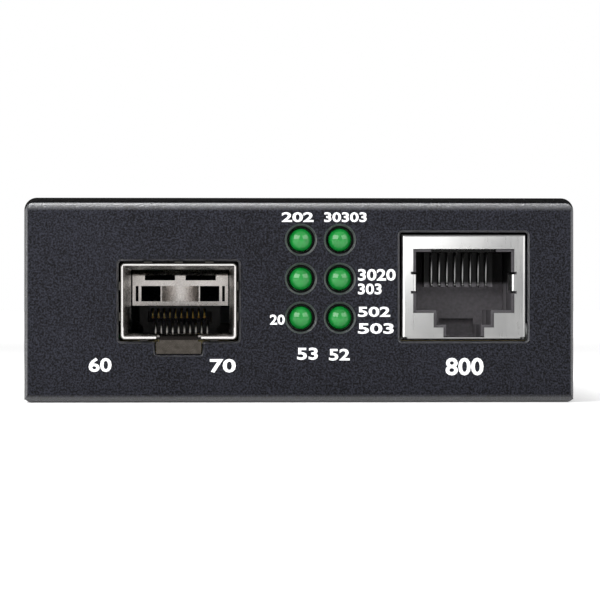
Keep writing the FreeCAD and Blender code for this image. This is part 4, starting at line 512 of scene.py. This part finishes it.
# %% Dress the frame
LAMPS = [f"lamp_{row}_{side}" for row in ("lower", "middle", "upper") for side in ("left", "right")]
FINISHES = [
    (COAT, ["base_tray"]),
    (COVER_COAT, ["top_cover"]),
    (SATIN_NICKEL, ["jack_shield"]),
    (TIN_PLATE, ["cage_shell", "cage_base"]),
    (STAINLESS, ["cage_spring_fingers"]),
    (BLACK_OXIDE, ["cover_screws"]),
    (ZINC, ["board_screws"]),
    (NICKEL_BRASS, ["board_pillars"]),
    (GOLD, ["card_contacts_upper"]),
    (NICKEL_WIRE, ["jack_contacts"]),
    (TIN, [
        "card_contacts_lower", "lamp_leads", "magnetics_leads", "memory_leads",
        "regulator_leads", "inlet_pin", "inlet_leaf_contact", "inlet_side_contact",
    ]),
    (INSERT_LIGHT_AND_SHADE, ["jack_insert"]),
    (POLYESTER, ["card_connector_body", "lamp_holder_left", "lamp_holder_right", "inlet_body"]),
    (GREEN_EPOXY, LAMPS),
    (LAMINATE, ["main_board"]),
    (CHIP_EPOXY, ["magnetics_module", "controller_chip", "memory_chip", "regulator_chip"]),
    (ALUMINIUM, ["capacitor_can", "crystal_can"]),
    (FERRITE, ["power_coil"]),
]

for material, names in FINISHES:
    for name in names:
        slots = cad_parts[name].data.materials
        slots.clear()
        slots.append(material)
print("dressed", sum(len(names) for _, names in FINISHES), "of", len(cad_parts))

# %% [markdown]
# ## Round contact wires
# The contacts are drawn wire, flattened a little where a plug touches them, and their cut ends are rounded
# by tumbling. The frame's square strips are right for size but catch the light as flat bands, so each
# contact is made again as a round wire: a circle at every point of its path, bridged to the next one, with
# a small ball where the end is rounded.

# %% Wires along a path
WIRE_SIDES, BALL_RINGS = 12, 8


def direction(path, i):
    """The wire's direction at a point of its path."""
    before, after = path[max(i - 1, 0)], path[min(i + 1, len(path) - 1)]
    here = path[i]
    parts = [(b - a).normalized() for a, b in ((before, here), (here, after)) if (b - a).length > 0]
    return sum(parts, Vector()).normalized()


def add_wire(bm, x, line, ball=0.0):
    """A round wire through points (y, z, radius), in millimetres, with a ball at its first point."""
    path = [Vector((x, y, z)) for y, z, _ in line]
    rings = []
    for i, (point, (_, _, radius)) in enumerate(zip(path, line)):
        turn = direction(path, i).to_track_quat("Z", "X").to_matrix().to_4x4()
        matrix = Matrix.Translation(point * MM) @ turn
        at_end = i in (0, len(path) - 1)
        circle = bmesh.ops.create_circle(
            bm, cap_ends=at_end, segments=WIRE_SIDES, radius=radius * MM, matrix=matrix
        )
        rim = set(circle["verts"])
        rings.append([e for e in bm.edges if e.verts[0] in rim and e.verts[1] in rim])
    for ring, following in zip(rings, rings[1:]):
        bmesh.ops.bridge_loops(bm, edges=ring + following)
    if ball:
        bmesh.ops.create_uvsphere(
            bm, u_segments=WIRE_SIDES, v_segments=BALL_RINGS, radius=ball * MM,
            matrix=Matrix.Translation(path[0] * MM),
        )


def finished(name, bm, material, replaced):
    """Makes the piece from its bmesh: normals outwards, smooth, riding on the case."""
    bmesh.ops.recalc_face_normals(bm, faces=bm.faces)
    for face in bm.faces:
        face.smooth = True
    mesh = bpy.data.meshes.new(name)
    bm.to_mesh(mesh)
    bm.free()
    mesh.materials.append(material)
    piece = bpy.data.objects.new(name, mesh)
    bpy.context.scene.collection.objects.link(piece)
    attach(piece, "root")
    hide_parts(replaced)
    print(name, len(mesh.polygons), "faces")


def evenly(first, last, count):
    return [first + (last - first) * i / (count - 1) for i in range(count)]


# %% [markdown]
# ## The jack's eight contacts
# Each wire hangs down in front of the comb, where a plug presses it back, and ends in a rounded tip. Above,
# it curves forward to the moulded nose, turns over it and goes back along the roof to its solder tail. The
# tails stand in two rows, so every other wire goes further back. The points of the hanging part and of the
# nose are listed as a wire former would set them: how far back, how high and how thick.

# %% Jack contacts
JACK_WIRES = 8
JACK_WIRE_WIDTH = 0.3
TAIL_ROWS = 2.54  # mm between the two rows of tails
TIP_BEHIND = 7.3  # mm from the front of the contacts' box to the tips
TIP_BALL = 0.19
HANGING = [  # mm behind the tip, mm above the case's underside, radius
    (0, 14.97, 0.06), (0, 15.2, 0.06), (-0.02, 15.6, 0.13), (-0.05, 16.2, 0.16), (-0.15, 17.0, 0.15),
    (-0.4, 17.8, 0.13), (-0.9, 18.5, 0.11), (-1.8, 19.05, 0.1), (-3.5, 19.35, 0.11),
]
NOSE = [  # mm behind the wire's frontmost point, mm above the case's underside, radius
    (1.2, 19.5, 0.12), (0.35, 19.62, 0.13), (0.05, 19.95, 0.13), (0, 20.25, 0.13), (0.15, 20.65, 0.14),
]
NOSE_END, TAIL_BEND = 0.5, 0.3  # mm that the roof's run keeps from the front and from the tail


def jack_wires():
    low, high = (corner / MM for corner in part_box("jack_contacts"))
    half = JACK_WIRE_WIDTH / 2
    tip, front, top = low.y + TIP_BEHIND, low.y + half, high.z - half
    bm = bmesh.new()
    for i, x in enumerate(evenly(low.x + half, high.x - half, JACK_WIRES)):
        tail = high.y - half - (TAIL_ROWS if i % 2 else 0)
        hanging = [(tip + y, z, radius) for y, z, radius in HANGING]
        nose = [(front + y, z, radius) for y, z, radius in NOSE]
        roof = [(front + NOSE_END, top, half), (tail - TAIL_BEND, top, half)]
        down = [(tail, top - TAIL_BEND, half), (tail, low.z, half)]
        add_wire(bm, x, hanging + nose + roof + down, ball=TIP_BALL)
    finished("contact_wires", bm, NICKEL_WIRE, "jack_contacts")


jack_wires()

# %% [markdown]
# ## The card connector's contacts
# Two rows of ten beams grip the module's card. The upper ones hang from the slot's roof and end in a
# gold-flashed bead, and the lower ones come out of the slot, fold down and stand on the board in front of
# the connector, tinned for soldering. Depths are counted from the connector's face, and heights from the
# roof or the foot of the row's own box.

# %% Card contacts
CARD_CONTACTS = 10
CARD_CONTACT_WIDTH = 0.36
STRIP = 0.1  # half the thickness of the strip that the contacts are cut from
BEAD = 0.2
POST = 1.0  # mm from the upper row's rear end to its upright


def card_contact_places(name):
    """The corners of the row's box, the connector's face, and each contact's place along the row."""
    low, high = (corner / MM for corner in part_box(name))
    half = CARD_CONTACT_WIDTH / 2
    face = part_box("card_connector_body")[0].y / MM
    return low, high, face, evenly(low.x + half, high.x - half, CARD_CONTACTS)


def upper_card_wires():
    low, high, face, places = card_contact_places("card_contacts_upper")
    roof, foot, back = high.z - STRIP, low.z + STRIP, high.y - POST
    beam = [
        (face + 0.75, roof - 1.12, 0.13), (face + 1.0, roof - 1.0, 0.13), (face + 1.6, roof - 0.7, 0.12),
        (face + 4.6, roof, STRIP), (back, roof, STRIP), (back, foot + 0.15, STRIP),
        (back + 0.15, foot, STRIP), (high.y, foot, STRIP),
    ]
    taper = [(face + 0.73, roof - 1.02, 0.15), (face + 0.85, roof - 0.22, 0.07)]
    bm = bmesh.new()
    for x in places:
        add_wire(bm, x, beam, ball=BEAD)
        add_wire(bm, x, taper)
    finished("card_beads", bm, GOLD, "card_contacts_upper")


def lower_card_wires():
    low, high, face, places = card_contact_places("card_contacts_lower")
    foot = low.z + STRIP
    beam = [
        (face - 1.2, foot, 0.1), (face - 0.5, foot, 0.12), (face - 0.36, foot + 0.2, 0.13),
        (face - 0.33, foot + 0.7, 0.16), (face - 0.28, foot + 1.2, 0.12), (face - 0.1, foot + 1.65, 0.08),
        (face + 1.7, high.z - STRIP, STRIP), (face + 4.0, high.z - 0.75, STRIP),
    ]
    bm = bmesh.new()
    for x in places:
        add_wire(bm, x, beam)
    finished("card_feet", bm, TIN, "card_contacts_lower")


upper_card_wires()
lower_card_wires()

# %% [markdown]
# ## Printed numbers
# The front carries small white marks beside the lamps and under the two ports. Here they are plain
# numbers. Each is a text object turned into a mesh a few hundredths of a millimetre thick, fitted into its
# own rectangle on the panel, which is measured from the middle of a lamp or of the cage.

# %% Printed numbers
INK = 0.02 * MM
BOLDNESS = 0.025  # thickening of a letter's outline, as a share of its size
ANY_DEPTH = 0.5  # the text only needs some thickness, because the fit squeezes it to the ink's
CURVE_STEPS = 3


def text_mesh(name, text):
    curve = bpy.data.curves.new(name, "FONT")
    curve.body = text
    curve.offset = BOLDNESS
    curve.extrude = ANY_DEPTH
    curve.resolution_u = CURVE_STEPS
    source = bpy.data.objects.new(name + "_text", curve)
    bpy.context.scene.collection.objects.link(source)
    bpy.context.view_layer.update()
    mesh = bpy.data.meshes.new_from_object(source.evaluated_get(bpy.context.evaluated_depsgraph_get()))
    bpy.data.objects.remove(source)
    return mesh


def printed(name, text, anchor, box):
    """A mark on the front panel, fitted into a box that is measured from a piece's middle."""
    mesh = text_mesh(name, text)
    low, high = (Vector(f(v.co[i] for v in mesh.vertices) for i in range(3)) for f in (min, max))
    middle, size = (low + high) / 2, high - low
    x0, z0, x1, z1 = (value * MM for value in box)
    origin = sum(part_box(anchor), Vector()) / 2
    fit = Matrix.Diagonal(((x1 - x0) / size.x, (z1 - z0) / size.y, INK / size.z, 1))
    target = Vector((origin.x + (x0 + x1) / 2, FACE_Y - INK / 2, origin.z + (z0 + z1) / 2))
    upright = Matrix.Rotation(math.pi / 2, 4, "X")
    mesh.transform(Matrix.Translation(target) @ upright @ fit @ Matrix.Translation(-middle))
    mesh.materials.clear()
    mesh.materials.append(WHITE_INK)
    piece = bpy.data.objects.new(name, mesh)
    bpy.context.scene.collection.objects.link(piece)
    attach(piece, "root")


MARKS = [  # name, text, piece to measure from, and the box's x0, z0, x1, z1 in mm
    ("mark_column_left", "202", "lamp_upper_left", (-2.45, 2.25, 1.6, 3.5)),
    ("mark_column_right", "30303", "lamp_upper_right", (-2.0, 2.25, 3.4, 3.5)),
    ("mark_lamp_left", "20", "lamp_lower_left", (-3.95, -0.9, -2.05, 0.4)),
    ("mark_lamp_middle", "3020", "lamp_middle_right", (2.3, -0.25, 7.1, 1.25)),
    ("mark_lamp_middle_below", "303", "lamp_middle_right", (2.3, -2.0, 5.3, -0.6)),
    ("mark_lamp_lower", "502", "lamp_lower_right", (2.3, 0.1, 6.4, 1.4)),
    ("mark_lamp_lower_below", "503", "lamp_lower_right", (2.3, -2.05, 6.85, -0.7)),
    ("mark_foot_left", "53", "lamp_lower_left", (-0.5, -5.35, 2.15, -3.8)),
    ("mark_foot_right", "52", "lamp_lower_right", (-1.4, -5.45, 1.25, -3.95)),
    ("mark_port_left", "60", "cage_shell", (-11.4, -9.55, -8.5, -7.75)),
    ("mark_port_right", "70", "cage_shell", (3.95, -9.65, 7.25, -7.9)),
    ("mark_jack", "800", "lamp_lower_right", (13.45, -7.35, 18.3, -5.1)),
]
for mark in MARKS:
    printed(*mark)
print("marks", len(MARKS))

# %% [markdown]
# ## Lights
# Two large softboxes stand left and right of the camera, so that each lamp mirrors them side by side. A
# third hangs above and behind the panel's plane: it lights the top, and of the front it reaches only the
# panel's upper fold, where it draws the bright line.

# %% Softboxes
def softbox(name, place_mm, size_mm, radiance):
    """A rectangular area light of the given radiance, aimed at the middle of the front panel."""
    width, depth = (s * MM for s in size_mm)
    data = bpy.data.lights.new(name, "AREA")
    data.shape = "RECTANGLE"
    data.size, data.size_y = width, depth
    data.energy = radiance * math.pi * width * depth
    light = bpy.data.objects.new(name, data)
    bpy.context.scene.collection.objects.link(light)
    light.location = Vector(place_mm) * MM
    light.rotation_euler = (PANEL_MIDDLE - light.location).to_track_quat("-Z", "Y").to_euler()
    light.visible_camera = False
    print(name, round(data.energy, 2), "W")


softbox("softbox_left", place_mm=(-170, -210, 137), size_mm=(270, 190), radiance=6.0)
softbox("softbox_right", place_mm=(172, -205, 130), size_mm=(240, 175), radiance=3.6)
softbox("softbox_above", place_mm=(-70, 60, 320), size_mm=(320, 130), radiance=10.0)

# %% [markdown]
# ## Room
# The room is white. It could be a real dome, but a world colour does the same: camera rays and reflections
# see it at full strength, and as a source of light it is dim, so that it only softens the shadows.

# %% Room
AIR = 0.2  # strength of the room as a source of light


def studio_air():
    world = bpy.data.worlds.new("studio")
    bpy.context.scene.world = world
    world.use_nodes = True
    tree = world.node_tree
    tree.nodes.clear()
    path = node(tree, "LightPath")
    seen = either(tree, path["Is Glossy Ray"], path["Is Transmission Ray"], path["Is Camera Ray"])
    strength = node(tree, "MapRange", {"Value": seen, "To Min": AIR, "To Max": 1.0})["Result"]
    background = node(tree, "Background", {"Color": (1, 1, 1, 1), "Strength": strength})
    node(tree, "OutputWorld", {"Surface": background["Background"]})
    print("air", AIR)


studio_air()

# %% [markdown]
# ## Floor
# The floor is a plain white sheet that takes the case's soft shadow. The lights reach it fully only near
# the case, so towards the horizon a share of its whiteness is a glow, seen only by camera rays and
# reflections.

# %% Floor
FLOOR_REACH = 3.0  # metres from the middle to each edge
FLOOR_GAP = 0.05 * MM  # keeps the sheet clear of the case's underside
PAPER_GRAIN = 2.0  # mm
GLOW_NEAR, GLOW_FAR = 0.2, 0.91
LIT_NEAR, LIT_FAR = 0.15, 0.7  # metres from the case between which the light falls off


def floor_paper(tree):
    fibres = {0: grain(tree, PAPER_GRAIN), 6: linear("#E9E9E9"), 7: linear("#F2F2F2")}
    colour = node(tree, "Mix", fibres, data_type="RGBA")[2]
    path = node(tree, "LightPath")
    seen = either(tree, path["Is Camera Ray"], path["Is Glossy Ray"])
    away = node(tree, "VectorMath", {0: node(tree, "TexCoord")["Object"]}, operation="LENGTH")["Value"]
    share = node(tree, "MapRange", {
        "Value": away, "From Min": LIT_NEAR, "From Max": LIT_FAR, "To Min": GLOW_NEAR, "To Max": GLOW_FAR,
    })["Result"]
    glow = node(tree, "Math", {0: seen, 1: share}, operation="MULTIPLY")[0]
    return {
        "Base Color": colour, "Roughness": 0.9, "Emission Color": (1, 1, 1, 1), "Emission Strength": glow,
    }


def floor_sheet():
    mesh = bpy.data.meshes.new("floor")
    bm = bmesh.new()
    bmesh.ops.create_grid(bm, x_segments=1, y_segments=1, size=FLOOR_REACH)
    bmesh.ops.translate(bm, verts=bm.verts, vec=(0, 0, min(tray_low.z, cover_low.z) - FLOOR_GAP))
    bm.to_mesh(mesh)
    bm.free()
    floor = bpy.data.objects.new("floor", mesh)
    bpy.context.scene.collection.objects.link(floor)
    mesh.materials.append(new_material("white_paper", floor_paper))


floor_sheet()

# %% [markdown]
# ## Colour
# The Standard view shows each colour as it is written.

# %% Colour
bpy.context.scene.view_settings.view_transform = "Standard"
